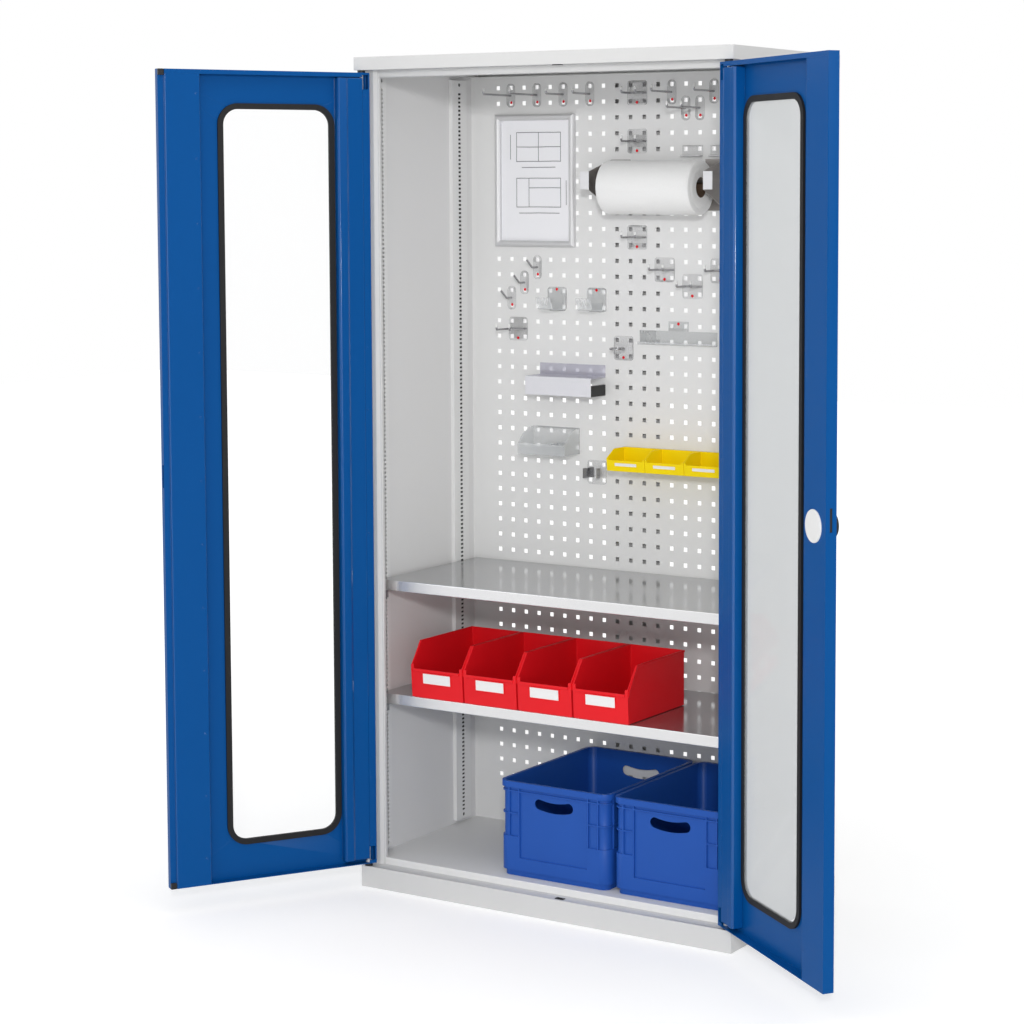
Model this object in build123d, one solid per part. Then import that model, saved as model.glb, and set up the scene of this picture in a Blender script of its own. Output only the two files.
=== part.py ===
from build123d import *
import math
import os

# A steel tool cabinet: light grey carcass, perforated back panel with tool
# fittings, two shelves, storage bins and boxes, and two blue doors with windows.
#
# Millimetres. X runs to the right and Z up. Every piece is drawn with Y counted
# back from the front face of the lid and plinth, and is moved at the end so that
# the origin lies on the floor under the middle of the carcass.

# ------------------------------------------------------------- carcass sizes
cabinet_width = 1000.0
cabinet_depth = 500.0
cabinet_height = 1950.0
sheet = 1.5
bend = 1.0                     # inside radius of every fold
margin = 1.0                   # how far a cutter reaches past the faces it opens
plinth_height = 50.0
lid_height = 30.0
front_ledge = 70.0             # depth of the lid's and the plinth's front ledges
side_ledge = 28.0
back_ledge = 30.0
plinth_foot = 25.0             # width of the plinth's bottom flange
frame_set_back = 32.0          # room in front of the posts for the closed doors
post_width = 43.0
post_face = 32.0               # flat outer part of the post's front
post_step = 6.5                # the inner part of the frame lies this much deeper
post_depth = 10.0
post_return = 12.0
rear_flange = 15.0
header_height = 16.0
header_depth = 27.5
header_return = 12.0
sill_top = 66.0
sill_depth = 5.0

# ------------------------------------------------- perforated panel and rails
panel_front = 470.0            # depth of the panel's face
panel_flange = 27.0
hole_size = 10.0
hole_pitch = 38.0
hole_columns = 23
hole_rows = 46
top_row = 1893.0
stiffener_width = 152.0
stiffener_centre = -31.0
stiffener_depth = 20.0
rail_proud = 10.0              # how far the slotted rails stand off the side walls
rear_rail_width = 60.0
rear_rail_centre = 405.0
front_rail_width = 36.0
front_rail_centre = 90.0
rail_end_gap = 9.0
slot_pitch = 10.0
slot_height = 5.0
slot_length = 11.0
slot_margin = 24.0
plug_hole_radius = 4.5
plug_hole_margin = 11.0

# ------------------------------------------------------------------- shelves
shelf_tops = {"shelf_upper": 727.0, "shelf_lower": 455.0}
shelf_lip = 26.0
shelf_return = 12.0
shelf_side_gap = 2.5           # to the face of the rails
shelf_front = 68.0
shelf_back_gap = 4.0           # to the perforated panel
clip_width = 12.0
clip_height = 22.0
clip_ledge = 14.0
clip_wall = 3.0
clip_tongue = 4.0

# --------------------------------------------------------------------- doors
door_thickness = 24.0
door_edge_inset = 0.5          # hinge edge, inside the cabinet's side
door_meeting_gap = 3.0
door_foot_gap = 8.0            # over the plinth
door_head_gap = 6.0            # under the lid
door_lip = 18.0                # hinge-side lip on the inner face
door_head_lip = 10.0
pin_from_edge = 15.0
pin_depth = 9.0
pin_radius = 4.0
pin_fit = 0.05
pin_reach = 12.0               # past the ledge
pin_tail = 6.0                 # past the inner lug
pin_collar_radius = 7.0
pin_collar = 3.0
notch_from_end = 5.0
notch_height = 33.0
notch_width = 14.0
lug_thickness = 3.0
lug_width = 28.0
bush_radius = 6.0
bush_collar_radius = 9.0
bush_tail = 9.0
seat_gap = 0.3                 # between pieces that turn or slide on each other
push_gap = 0.1                 # between pieces that are pushed into each other
hinge_profile_end = 79.0
hinge_profile_ridge = 25.0     # width of the rounded ridge
hinge_profile_rise = 3.0       # its height over the door's inner face
hinge_profile_gap = 12.0       # to the door's ends
lock_profile_start = 403.0
meeting_strip = 14.0           # stepped strip along the left door's free edge
meeting_step = 6.0
strip_cap_length = 14.0
open_angle_left = 122.0
open_angle_right = 144.0

# -------------------------------------------------------------- door windows
window_left = 94.0
window_right = 345.0
window_bottom = 149.5
window_top = 1827.5
window_radius = 35.0
gasket_band = 13.0
gasket_hold = 6.0              # how far the gasket grips over the sheet
gasket_outer_lip = 1.2
gasket_inner = 7.0
pane_hold = 5.0
pane_thickness = 3.0
pane_depth = 2.0

# ---------------------------------------------------------------------- lock
lock_from_edge = 447.0
lock_height = 987.0
knob_radius = 27.5
knob_thickness = 16.0
knob_grip_width = 12.0
knob_grip_depth = 10.0
knob_neck_radius = 14.0
knob_neck = 8.0
spindle_radius = 5.0
cam_radius = 12.0
cam_thickness = 5.0
cover_radius = 33.5
cover_thickness = 3.0
case_width = 54.0
case_height = 88.0
case_wall = 2.0
rod_width = 10.0
rod_thickness = 5.0
rod_depth = 12.0               # middle of the rods and the bolt, behind the skin
rod_start = 16.0               # from the spindle's middle to the rod's inner end
rod_rest = 3.0                 # the rods end this far inside the door when open
rod_slack = 0.3
guide_width = 26.0
guide_height = 20.0
guide_from_end = 24.0
bolt_height = 47.0
bolt_centre = 1003.5
bolt_tail = 10.0               # part of the bolt inside the lock case
bolt_rest = 1.0                # the bolt ends this far inside the door when open
strike_margin = 5.0
keep_width = 22.0
keep_depth = 10.0
keep_slot_width = 13.0
keep_slot_depth = 7.0
keep_proud = 1.5

# ---------------------------------------------------------------- red bins
red_bin_count = 4
red_bin_left = -395.0
red_bin_pitch = 150.3
red_bin_width = 149.6
red_bin_front = 58.0
red_bin_length = 252.0
red_bin_height = 130.0
red_bin_wall = 2.6
red_bin_front_height = 70.0
red_bin_cheek_height = 77.0
red_bin_slope = 34.0           # length of the sloping front part of the sides
red_bin_lean = 5.0
red_bin_foot = 3.0
red_bin_rim = 2.0
red_bin_rim_height = 5.0
red_bin_front_lip = 6.0

# --------------------------------------------------------------- blue boxes
box_width = 300.0
box_length = 400.0
box_height = 222.0
box_front = 67.0
box_post_gap = 2.0             # between the right box and the post it passes
box_gap = 8.0                  # between the two boxes
box_wall = 3.0
box_radius = 26.0              # of the upright corners
box_foot_height = 14.0
box_foot_inset = 9.0
box_rim_height = 14.0
box_skin_inset = 6.0           # the recessed panels lie this far inside the rim
box_relief_inset = 2.0         # corner blocks and ribs
box_sill_height = 44.0         # top of the plain band along the bottom
box_block_height = 94.0        # top of the solid corner blocks
box_corner = 58.0              # width of the corner columns
box_rib = 3.0
box_rib_place = 28.0
box_band_level = 198.0
box_rib_level = 146.0
box_grip_width = 104.0
box_grip_height = 24.0
box_grip_sag = 5.0
box_grip_level = 176.0

# -------------------------------------------------------------- yellow bins
yellow_bin_count = 3
yellow_bin_left = -52.0
yellow_bin_pitch = 106.0
yellow_bin_width = 105.0
yellow_bin_depth = 80.0
yellow_bin_height = 50.0
yellow_bin_wall = 1.8
yellow_bin_front_height = 26.0
yellow_bin_slope = 30.0
yellow_bin_lean = 4.0
yellow_bin_cheek_rise = 4.0
yellow_bin_bridge = 2.0        # thickness of the lip that hooks over the rail
yellow_bin_lip_gap = 1.0       # between that lip and the rail's upturned edge
yellow_bin_row = 23
bin_rail_thickness = 2.0
bin_rail_drop = 36.0
bin_rail_pegs = (10, 14, 17)
bin_rail_shelf = 7.0
bin_rail_upstand = 8.0
bin_rail_end = 4.0

# ------------------------------------------------------------ panel fittings
plate_thickness = 2.0
plate_width = 24.0
plate_height = 58.0
double_plate_width = 54.0
peg_size = 8.0
peg_length = 4.0
rod_radius = 2.5
rod_bend = 5.0
tip_height = 14.0
double_hook_reach = 42.0
cross_bar_radius = 2.0
cross_bar_overhang = 7.5       # past the middles of a double hook's rods
bracket_drop = 18.0
bracket_rise = 8.0
bracket_ledge = 14.0
clamp_profile = ((0.0, -8.0), (8.0, -26.0), (52.0, -22.0), (62.0, 6.0))  # (reach, rise)
clamp_width = 40.0
clamp_bend = 4.0
clamp_gap = 4.0
clamp_gap_offset = 7.0
clamp_gap_start = 50.0
clamp_gap_height = 24.0
ring_hook_radius = 17.0
ring_hook_arm = 12.0
clip_profile = ((9.0, -1.0), (17.0, 12.0), (12.0, 24.0), (19.0, 34.0))  # (half opening, reach)
clip_sheet = 1.2
clip_bend = 2.0
clip_band = 24.0
document_width = 230.0
document_height = 322.0
document_centre = (-307.0, 1667.0)
document_depth = 15.0
document_rail = 15.0
document_bevel = 5.0
document_back = 1.5
document_pegs = ((3, 3), (3, 8))
paper_width = 206.0
paper_height = 296.0
paper_thickness = 0.6
roll_left = -57.0
roll_length = 254.0
roll_radius = 65.0
roll_bore_radius = 22.0
roll_wall_gap = 4.0
holder_left = -90.0
holder_right = 220.0
holder_bar_height = 1667.0
holder_bar_radius = 5.0
holder_plate_height = 120.0
holder_plate_width = 52.0
holder_tip_height = 42.0
holder_tip_width = 24.0
holder_tip_reach = 36.0
holder_sheet = 2.0
holder_bar_end = 6.0
holder_nut_rise = 3.0
tray_left = -297.0
tray_width = 188.0
tray_depth = 68.0
tray_bottom = 1150.0
tray_front_height = 45.0
tray_rim_height = 28.0
tray_wall = 1.5
tray_end = 9.0
tray_end_height = 26.0
rack_left = -318.0
rack_width = 135.0
rack_depth = 70.0
rack_bottom = 1003.0
rack_front_height = 24.0
rack_back_height = 64.0
rack_wall = 2.0
rack_cheek_radius = 90.0
rack_fins = 11
rack_fin_width = 2.0
rack_fin_height = 12.0
rack_fin_step = 2.0            # each fin is this much higher than the one before
rack_fin_reach = (0.3, 0.5)    # share of the depth at the first fin, and what is added
tool_rail_left = -12.0
tool_rail_length = 212.0
tool_rail_bottom = 1278.0
tool_rail_height = 33.0
tool_rail_lip = 12.0
tool_rail_upturn = 6.0
tool_rail_tab_side = 8.0
tool_rail_tab_rise = 11.0
tool_rail_row = 15
tool_rail_columns = (13, 14)

# ------------------------------------------------------------ derived places
half_width = cabinet_width / 2
wall_inside = half_width - sheet
rail_face = wall_inside - rail_proud
lid_underside = cabinet_height - lid_height
frame_inner = half_width - post_width
frame_front = frame_set_back + post_step
frame_back = frame_front + post_depth
floor_top = sill_top - sheet
door_width = half_width - door_edge_inset - door_meeting_gap / 2
door_bottom = plinth_height + door_foot_gap
door_top = lid_underside - door_head_gap
panel_back = panel_front + sheet
shelf_half = rail_face - shelf_side_gap
shelf_back = panel_front - shelf_back_gap
pin_x = half_width - door_edge_inset - pin_from_edge
lock_x = half_width - door_edge_inset - lock_from_edge

nodes = {}


# ------------------------------------------------------------------- helpers
def along(axis, outline, start, stop):
    """Extrude an outline: (y, z) along x, (x, z) along y, (x, y) along z."""
    planes = {
        "x": Plane(origin=(start, 0, 0), x_dir=(0, 1, 0), z_dir=(1, 0, 0)),
        "y": Plane(origin=(0, stop, 0), x_dir=(1, 0, 0), z_dir=(0, -1, 0)),
        "z": Plane(origin=(0, 0, start)),
    }
    return planes[axis] * extrude(outline, amount=stop - start, dir=(0, 0, 1))


def block(low, high):
    """Box between two corners."""
    sizes = [b - a for a, b in zip(low, high)]
    return Pos(*low) * Box(*sizes, align=(Align.MIN, Align.MIN, Align.MIN))


def polygon(points):
    """Flat outline through the given points."""
    return make_face(Polyline(*points, close=True))


def panel_outline(left, right, bottom, top, radius):
    """Rectangle with round corners between the given limits."""
    middle = Pos((left + right) / 2, (bottom + top) / 2)
    return middle * RectangleRounded(right - left, top - bottom, radius)


def folded(points, thickness=sheet, radius=bend):
    """Section of a folded sheet: its thickness lies to the left of the path."""
    count = len(points)
    steps = [(b[0] - a[0], b[1] - a[1]) for a, b in zip(points, points[1:])]
    lengths = [math.hypot(*step) for step in steps]
    normals = [(-step[1] / size, step[0] / size) for step, size in zip(steps, lengths)]
    inner = []
    for index, point in enumerate(points):
        before = normals[max(index - 1, 0)]
        after = normals[min(index, count - 2)]
        scale = thickness / (1 + before[0] * after[0] + before[1] * after[1])
        shift = (before[0] + after[0], before[1] + after[1])
        inner.append((point[0] + shift[0] * scale, point[1] + shift[1] * scale))
    turns = [a[0] * b[1] - a[1] * b[0] for a, b in zip(steps, steps[1:])]
    outer_radii = [radius + thickness if turn > 0 else radius for turn in turns]
    inner_radii = [radius if turn > 0 else radius + thickness for turn in turns]
    outer_edge = FilletPolyline(*points, radius=outer_radii)
    inner_edge = FilletPolyline(*inner, radius=inner_radii)
    ends = Line(points[0], inner[0]) + Line(points[-1], inner[-1])
    return make_face(outer_edge + inner_edge + ends)


def bent_rod(points, radius, bend_radius):
    """Round bar along a path with arcs at its corners."""
    path = FilletPolyline(*points, radius=bend_radius)
    section = Plane(origin=path @ 0, z_dir=path % 0) * Circle(radius)
    return sweep(section, path=path)


def upright(radius, x, y, start, stop):
    """Vertical round bar."""
    return along("z", Pos(x, y) * Circle(radius), start, stop)


def cross_bar(radius, y, z, start, stop):
    """Round bar along X."""
    return along("x", Pos(y, z) * Circle(radius), start, stop)


def mirrored(shape):
    """The same piece on the other side of the cabinet."""
    return mirror(shape, about=Plane.YZ)


def pierced_sheet(outer, holes, thickness, plane):
    """Flat sheet with many rectangular holes; outer and holes are (u0, u1, v0, v1)."""
    def loop(u0, u1, v0, v1):
        corners = [(u0, v0), (u1, v0), (u1, v1), (u0, v1)]
        return Wire.make_polygon([plane.from_local_coords(Vector(u, v, 0)) for u, v in corners])
    face = Face(loop(*outer), [loop(*hole) for hole in holes])
    return Solid.extrude(face, plane.z_dir * thickness)


# ------------------------------------------------------------------- carcass
def side_wall():
    """Right side wall with its front post and rear flange in one sheet."""
    path = [
        (frame_inner + post_return, frame_back),
        (frame_inner, frame_back),
        (frame_inner, frame_front),
        (half_width - post_face - post_step, frame_front),
        (half_width - post_face, frame_set_back),
        (half_width, frame_set_back),
        (half_width, cabinet_depth),
        (half_width - rear_flange, cabinet_depth),
    ]
    return along("z", folded(path), plinth_height, lid_underside)


def ring_cut(bottom, top, front_width, side_width, back_width):
    """What is left open inside a ledge that runs round the cabinet."""
    low = (-half_width + side_width, front_width, bottom)
    high = (half_width - side_width, cabinet_depth - back_width, top)
    return block(low, high)


def capped_pan(bottom, top):
    """Closed hollow slab of sheet over the whole footprint."""
    outer = block((-half_width, 0, bottom), (half_width, cabinet_depth, top))
    low = (-half_width + sheet, sheet, bottom + sheet)
    high = (half_width - sheet, cabinet_depth - sheet, top - sheet)
    return outer - block(low, high)


def ledge_openings(bottom, top):
    """Holes for the hinge bushes and the rod keep in a front ledge."""
    keep = block(
        (lock_x - keep_width / 2, rod_depth - keep_depth / 2, bottom),
        (lock_x + keep_width / 2, rod_depth + keep_depth / 2, top),
    )
    holes = [upright(bush_radius + push_gap, side * pin_x, pin_depth, bottom, top) for side in (-1, 1)]
    return keep + holes


def top_cap():
    """Lid with its skirts and the ledge that closes on the posts."""
    lid = capped_pan(lid_underside, cabinet_height)
    low, high = lid_underside - margin, lid_underside + sheet + margin
    return lid - ring_cut(low, high, front_ledge, side_ledge, back_ledge) - ledge_openings(low, high)


def plinth_frame():
    """Base frame: skirts, top ledge and bottom flange."""
    base = capped_pan(0, plinth_height)
    foot_cut = ring_cut(-margin, sheet + margin, plinth_foot, plinth_foot, plinth_foot)
    low, high = plinth_height - sheet - margin, plinth_height + margin
    top_cut = ring_cut(low, high, front_ledge, side_ledge, back_ledge)
    return base - foot_cut - top_cut - ledge_openings(low, high)


def header_rail():
    """Rail over the opening, between the posts."""
    low = lid_underside - header_height
    path = [
        (frame_front, lid_underside),
        (frame_front, low),
        (frame_front + header_depth, low),
        (frame_front + header_depth, low + header_return),
    ]
    return along("x", folded(path), -frame_inner, frame_inner)


def floor_tray():
    """Floor sheet with the sill band in front and flanges down to the plinth."""
    path = [
        (frame_front + sill_depth, sill_top),
        (frame_front, sill_top),
        (frame_front, plinth_height),
    ]
    sill = along("x", folded(path), -frame_inner, frame_inner)
    tongue = block(
        (-frame_inner, frame_front + sheet, floor_top - sheet),
        (frame_inner, frame_back, floor_top),
    )
    main = block(
        (-wall_inside, frame_back, floor_top - sheet),
        (wall_inside, panel_front, floor_top),
    )
    tray = sill + tongue + main
    for side in (-1, 1):
        edge = side * wall_inside
        low = (min(edge, edge - side * sheet), frame_back, plinth_height)
        high = (max(edge, edge - side * sheet), panel_front, floor_top)
        tray += block(low, high)
    rear = block(
        (-wall_inside, panel_front - sheet, plinth_height),
        (wall_inside, panel_front, floor_top),
    )
    return tray + rear


def hole_x(column):
    """Middle of a column of the perforated panel's holes."""
    return (column - (hole_columns - 1) / 2) * hole_pitch


def hole_z(row):
    """Height of a row of the perforated panel's holes, counted from the top."""
    return top_row - row * hole_pitch


def perforated_panel():
    """Back panel with square holes and four flanges turned backwards."""
    plane = Plane(origin=(0, panel_back, 0), x_dir=(1, 0, 0), z_dir=(0, -1, 0))
    half = hole_size / 2
    holes = [
        (hole_x(i) - half, hole_x(i) + half, hole_z(j) - half, hole_z(j) + half)
        for i in range(hole_columns)
        for j in range(hole_rows)
    ]
    face = pierced_sheet((-wall_inside, wall_inside, plinth_height, lid_underside), holes, sheet, plane)
    back = panel_back + panel_flange - sheet
    flanges = []
    for side in (-1, 1):
        edge = side * wall_inside
        low = (min(edge, edge - side * sheet), panel_back, plinth_height)
        high = (max(edge, edge - side * sheet), back, lid_underside)
        flanges.append(block(low, high))
    for level in (plinth_height, lid_underside - sheet):
        low = (-wall_inside, panel_back, level)
        high = (wall_inside, back, level + sheet)
        flanges.append(block(low, high))
    return face.fuse(*flanges)


def panel_stiffener():
    """Channel that stands upright behind the perforated panel."""
    left = stiffener_centre - stiffener_width / 2
    right = stiffener_centre + stiffener_width / 2
    path = [
        (left, panel_back),
        (left, panel_back + stiffener_depth),
        (right, panel_back + stiffener_depth),
        (right, panel_back),
    ]
    section = folded(path[::-1])
    return along("z", section, plinth_height + sheet, lid_underside - sheet)


def slot_levels():
    """Heights of the slots in the upright rails."""
    first = floor_top + rail_end_gap + slot_margin
    last = lid_underside - rail_end_gap - slot_margin
    count = int((last - first) / slot_pitch) + 1
    return [first + slot_pitch * index for index in range(count)]


def slotted_rail(centre, width):
    """Right-hand slotted upright: a shallow channel on the side wall."""
    low, high = floor_top + rail_end_gap, lid_underside - rail_end_gap
    plane = Plane(origin=(rail_face, 0, 0), x_dir=(0, 1, 0), z_dir=(1, 0, 0))
    half_slot = slot_length / 2
    holes = [
        (centre - half_slot, centre + half_slot, z - slot_height / 2, z + slot_height / 2)
        for z in slot_levels()
    ]
    web = pierced_sheet((centre - width / 2, centre + width / 2, low, high), holes, sheet, plane)
    legs = []
    for side in (-1, 1):
        edge = centre + side * width / 2
        start = (rail_face, min(edge, edge - side * sheet), low)
        stop = (wall_inside, max(edge, edge - side * sheet), high)
        legs.append(block(start, stop))
    ends = [
        cross_bar(plug_hole_radius, centre, z, rail_face - margin, rail_face + sheet + margin)
        for z in (low + plug_hole_margin, high - plug_hole_margin)
    ]
    return web.fuse(*legs).cut(*ends)


def shelf(top):
    """Shelf: a sheet with lips turned down all round and returns front and back."""
    path = [
        (shelf_front + shelf_return, top - shelf_lip),
        (shelf_front, top - shelf_lip),
        (shelf_front, top),
        (shelf_back, top),
        (shelf_back, top - shelf_lip),
        (shelf_back - shelf_return, top - shelf_lip),
    ]
    body = along("x", folded(path[::-1]), -shelf_half, shelf_half)
    for side in (-1, 1):
        edge = side * shelf_half
        low = (min(edge, edge - side * sheet), shelf_front + sheet, top - shelf_lip)
        high = (max(edge, edge - side * sheet), shelf_back - sheet, top - bend)
        body += block(low, high)
    return body


def shelf_clip(top, centre):
    """Right-hand clip: a ledge under the shelf with a tongue through a rail slot."""
    seat = top - shelf_lip
    slot = min(slot_levels(), key=lambda level: abs(level - (seat - clip_height / 2)))
    half = clip_width / 2
    path = [(rail_face, seat), (rail_face - clip_ledge, seat), (rail_face - clip_ledge, seat - clip_wall),
            (rail_face - clip_wall, seat - clip_wall), (rail_face - clip_wall, seat - clip_height),
            (rail_face, seat - clip_height)]
    body = along("y", polygon(path), centre - half, centre + half)
    tongue_half = (slot_length - 1) / 2
    tongue = block(
        (rail_face, centre - tongue_half, slot - slot_height / 2 + push_gap),
        (rail_face + clip_tongue, centre + tongue_half, slot + slot_height / 2 - push_gap),
    )
    return body + tongue


def shelf_clips():
    """The eight clips that carry the two shelves."""
    clips = []
    for top in shelf_tops.values():
        for centre in (front_rail_centre, rear_rail_centre):
            clip = shelf_clip(top, centre)
            clips += [clip, mirrored(clip)]
    return clips


def ledge_stack(ledge, direction):
    """Bush in a ledge; the door lies on the side that direction points to."""
    gap = door_head_gap if direction < 0 else door_foot_gap
    far = ledge + direction * (gap - seat_gap)
    near = ledge - direction * (sheet + bush_tail)
    collar = upright(bush_collar_radius, pin_x, pin_depth, min(ledge, far), max(ledge, far))
    body = upright(bush_radius, pin_x, pin_depth, min(near, far), max(near, far))
    bore = upright(pin_radius + pin_fit, pin_x, pin_depth, min(near, far) - 1, max(near, far) + 1)
    return collar + body - bore


def hinge_bushes():
    """Four bushes for the door pins, two in the lid and two in the plinth."""
    right = [ledge_stack(lid_underside, -1), ledge_stack(plinth_height, 1)]
    return right + [mirrored(bush) for bush in right]


def keep_insert(ledge, direction):
    """Plastic liner of the slot that a lock rod enters."""
    start = ledge + direction * keep_proud
    stop = ledge - direction * (sheet + keep_proud)
    low, high = min(start, stop), max(start, stop)
    middle = Pos(lock_x, rod_depth)
    outline = middle * (Rectangle(keep_width, keep_depth) - Rectangle(keep_slot_width, keep_slot_depth))
    return along("z", outline, low, high)


# --------------------------------------------------------------------- doors
# A door is drawn closed, as the left one: u runs from the hinge edge to the free
# edge and v from the outer skin to the inner face.
def window_prism(grow, radius, start, stop):
    """Window outline grown on all sides, between two depths."""
    left, right = window_left - grow, window_right + grow
    bottom, top = window_bottom - grow, window_top + grow
    return along("y", panel_outline(left, right, bottom, top, radius), start, stop)


def rod_slot(low, high, slack=rod_slack):
    """Room for a lock rod between two heights."""
    return block(
        (lock_from_edge - rod_width / 2 - slack, rod_depth - rod_thickness / 2 - slack, low),
        (lock_from_edge + rod_width / 2 + slack, rod_depth + rod_thickness / 2 + slack, high),
    )


def bolt_slot(low, high, slack=rod_slack):
    """Room for the latch bolt between two places along the door's width."""
    return block(
        (low, rod_depth - rod_thickness / 2 - slack, bolt_centre - bolt_height / 2 - slack),
        (high, rod_depth + rod_thickness / 2 + slack, bolt_centre + bolt_height / 2 + slack),
    )


def spindle_hole(start, stop):
    """Cutter for the knob's spindle through what lies between two depths."""
    middle = Pos(lock_from_edge, lock_height)
    return along("y", middle * Circle(spindle_radius + seat_gap), start - margin, stop + margin)


def edge_depth(stepped):
    """Depth of the flange along the free edge."""
    return door_thickness - (meeting_step if stepped else 0)


def door_pan(stepped):
    """Outer door sheet with its flanges, hinge lip, lugs and window opening."""
    inner = door_thickness - sheet
    skin = block((0, 0, door_bottom), (door_width, sheet, door_top))
    lip_path = [(door_lip, door_thickness), (0, door_thickness), (0, 0), (sheet * 2, 0)]
    hinge_side = along("z", folded(lip_path), door_bottom, door_top)
    free_side = block(
        (door_width - sheet, 0, door_bottom), (door_width, edge_depth(stepped), door_top))
    free_end = door_width - (meeting_strip if stepped else 0)
    head = block((sheet, 0, door_top - sheet), (door_width - sheet, edge_depth(stepped), door_top))
    head += block((sheet, 0, door_top - sheet), (free_end, door_thickness, door_top))
    head += block((sheet, inner, door_top - door_head_lip), (free_end, door_thickness, door_top))
    foot = block((sheet, 0, door_bottom), (door_width - sheet, edge_depth(stepped), door_bottom + sheet))
    foot += block((sheet, 0, door_bottom), (free_end, door_thickness, door_bottom + sheet))
    pan = skin + hinge_side + free_side + head + foot
    pan += hinge_lugs()
    pan -= hinge_notches()
    pan -= window_prism(gasket_band - gasket_hold, window_radius + gasket_hold, -1, sheet + 1)
    pan -= upright(pin_radius + push_gap, pin_from_edge, pin_depth, door_bottom - 1, door_top + 1)
    if stepped:
        return pan - bolt_slot(door_width - 2 * sheet, door_width + 1, strike_margin / 2)
    pan -= rod_slot(door_top - 2 * sheet, door_top + 1)
    pan -= rod_slot(door_bottom - 1, door_bottom + 2 * sheet)
    pan -= bolt_slot(door_width - 2 * sheet, door_width + 1)
    return pan - spindle_hole(0, sheet)


def notch_levels():
    """Height ranges of the two notches that bare the hinge pins."""
    top = door_top - notch_from_end
    bottom = door_bottom + notch_from_end + sheet * 2
    return [(top - notch_height, top), (bottom, bottom + notch_height)]


def hinge_lugs():
    """Lugs inside the pan that hold the inner ends of the hinge pins."""
    (upper_start, _), (_, lower_stop) = notch_levels()
    lugs = Part()
    for level in (upper_start - lug_thickness, lower_stop):
        low = (sheet, sheet, level)
        high = (lug_width, door_thickness - sheet, level + lug_thickness)
        lugs += block(low, high)
    return lugs


def hinge_notches():
    """Cuts in the hinge-side lip in front of the pins."""
    cuts = Part()
    for low, high in notch_levels():
        start = (door_lip - notch_width, door_thickness - sheet - 1, low)
        stop = (door_lip + 1, door_thickness + 1, high)
        cuts += block(start, stop)
    return cuts


def hinge_profile():
    """Stiffener beside the hinge edge with a rounded ridge, inside the pan."""
    end = hinge_profile_end
    start = end - hinge_profile_ridge
    inner = door_thickness
    ridge = inner + hinge_profile_rise
    path = [
        (door_lip + push_gap, inner),
        (start, inner),
        (start + hinge_profile_rise * 1.5, ridge),
        (end - hinge_profile_rise, ridge),
        (end, ridge - hinge_profile_rise * 1.5),
        (end, sheet),
    ]
    low, high = door_bottom + hinge_profile_gap, door_top - hinge_profile_gap
    return along("z", folded(path[::-1], radius=bend), low, high)


def lock_profile(stepped):
    """Box stiffener along the free edge."""
    inner = door_thickness
    edge = door_width - sheet
    path = [(lock_profile_start, sheet), (lock_profile_start, inner)]
    if stepped:
        path += [(door_width - meeting_strip, inner), (door_width - meeting_strip, inner - meeting_step)]
        path += [(edge, inner - meeting_step)]
    else:
        path += [(edge, inner)]
    low, high = door_bottom + sheet, door_top - door_head_lip - push_gap
    profile = along("z", folded(path[::-1]), low, high)
    if stepped:
        return profile
    return profile - spindle_hole(inner - sheet, inner)


def strip_caps():
    """Two end caps on the stepped strip of the left door's free edge."""
    caps = []
    depth = door_thickness - meeting_step
    for low in (door_bottom, door_top - strip_cap_length):
        start = (door_width - meeting_strip + bend, depth, low)
        stop = (door_width, depth + meeting_step - push_gap, low + strip_cap_length)
        caps.append(block(start, stop))
    return caps


def window_pane():
    """Clear pane, held in the gasket's groove."""
    return window_prism(pane_hold, window_radius + pane_hold, pane_depth, pane_depth + pane_thickness)


def window_gasket():
    """Rubber profile that grips the sheet's edge and holds the pane."""
    outer = window_prism(gasket_band, window_radius + gasket_band, -gasket_outer_lip, gasket_inner)
    opening = window_prism(0, window_radius, -gasket_outer_lip - 1, gasket_inner + 1)
    sheet_edge = window_prism(gasket_band, window_radius + gasket_band, 0, sheet)
    sheet_edge -= window_prism(gasket_band - gasket_hold, window_radius + gasket_hold, 0, sheet)
    return outer - opening - sheet_edge - window_pane()


def hinge_pins():
    """Two hinge pins of one door, each with a collar under the door's end."""
    pins = []
    levels = notch_levels()
    upper_start, lower_stop = levels[0][0], levels[1][1]
    top_stop = lid_underside + pin_reach
    bottom_start = plinth_height - pin_reach
    top_tail = upper_start - lug_thickness - pin_tail
    bottom_tail = lower_stop + lug_thickness + pin_tail
    top_seat, bottom_seat = door_top - sheet, door_bottom + sheet
    for low, high, collar_low in (
        (top_tail, top_stop, top_seat - pin_collar),
        (bottom_start, bottom_tail, bottom_seat),
    ):
        pin = upright(pin_radius, pin_from_edge, pin_depth, low, high)
        collar = upright(pin_collar_radius, pin_from_edge, pin_depth, collar_low, collar_low + pin_collar)
        pins.append(pin + collar)
    return pins


# ---------------------------------------------------------------------- lock
def lock_case():
    """Lock case inside the box stiffener, open for the rods, bolt and spindle."""
    low_z, high_z = lock_height - case_height / 2, lock_height + case_height / 2
    start, stop = lock_from_edge - case_width / 2, lock_from_edge + case_width / 2
    top = door_thickness - sheet
    case = block((start, sheet, low_z), (stop, top, high_z))
    case -= block(
        (start + case_wall, sheet + case_wall, low_z + case_wall),
        (stop - case_wall, top - case_wall, high_z - case_wall),
    )
    case -= rod_slot(high_z - 2 * case_wall, high_z + 1)
    case -= rod_slot(low_z - 1, low_z + 2 * case_wall)
    case -= bolt_slot(stop - 2 * case_wall, stop + 1)
    return case - spindle_hole(sheet, top)


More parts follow.
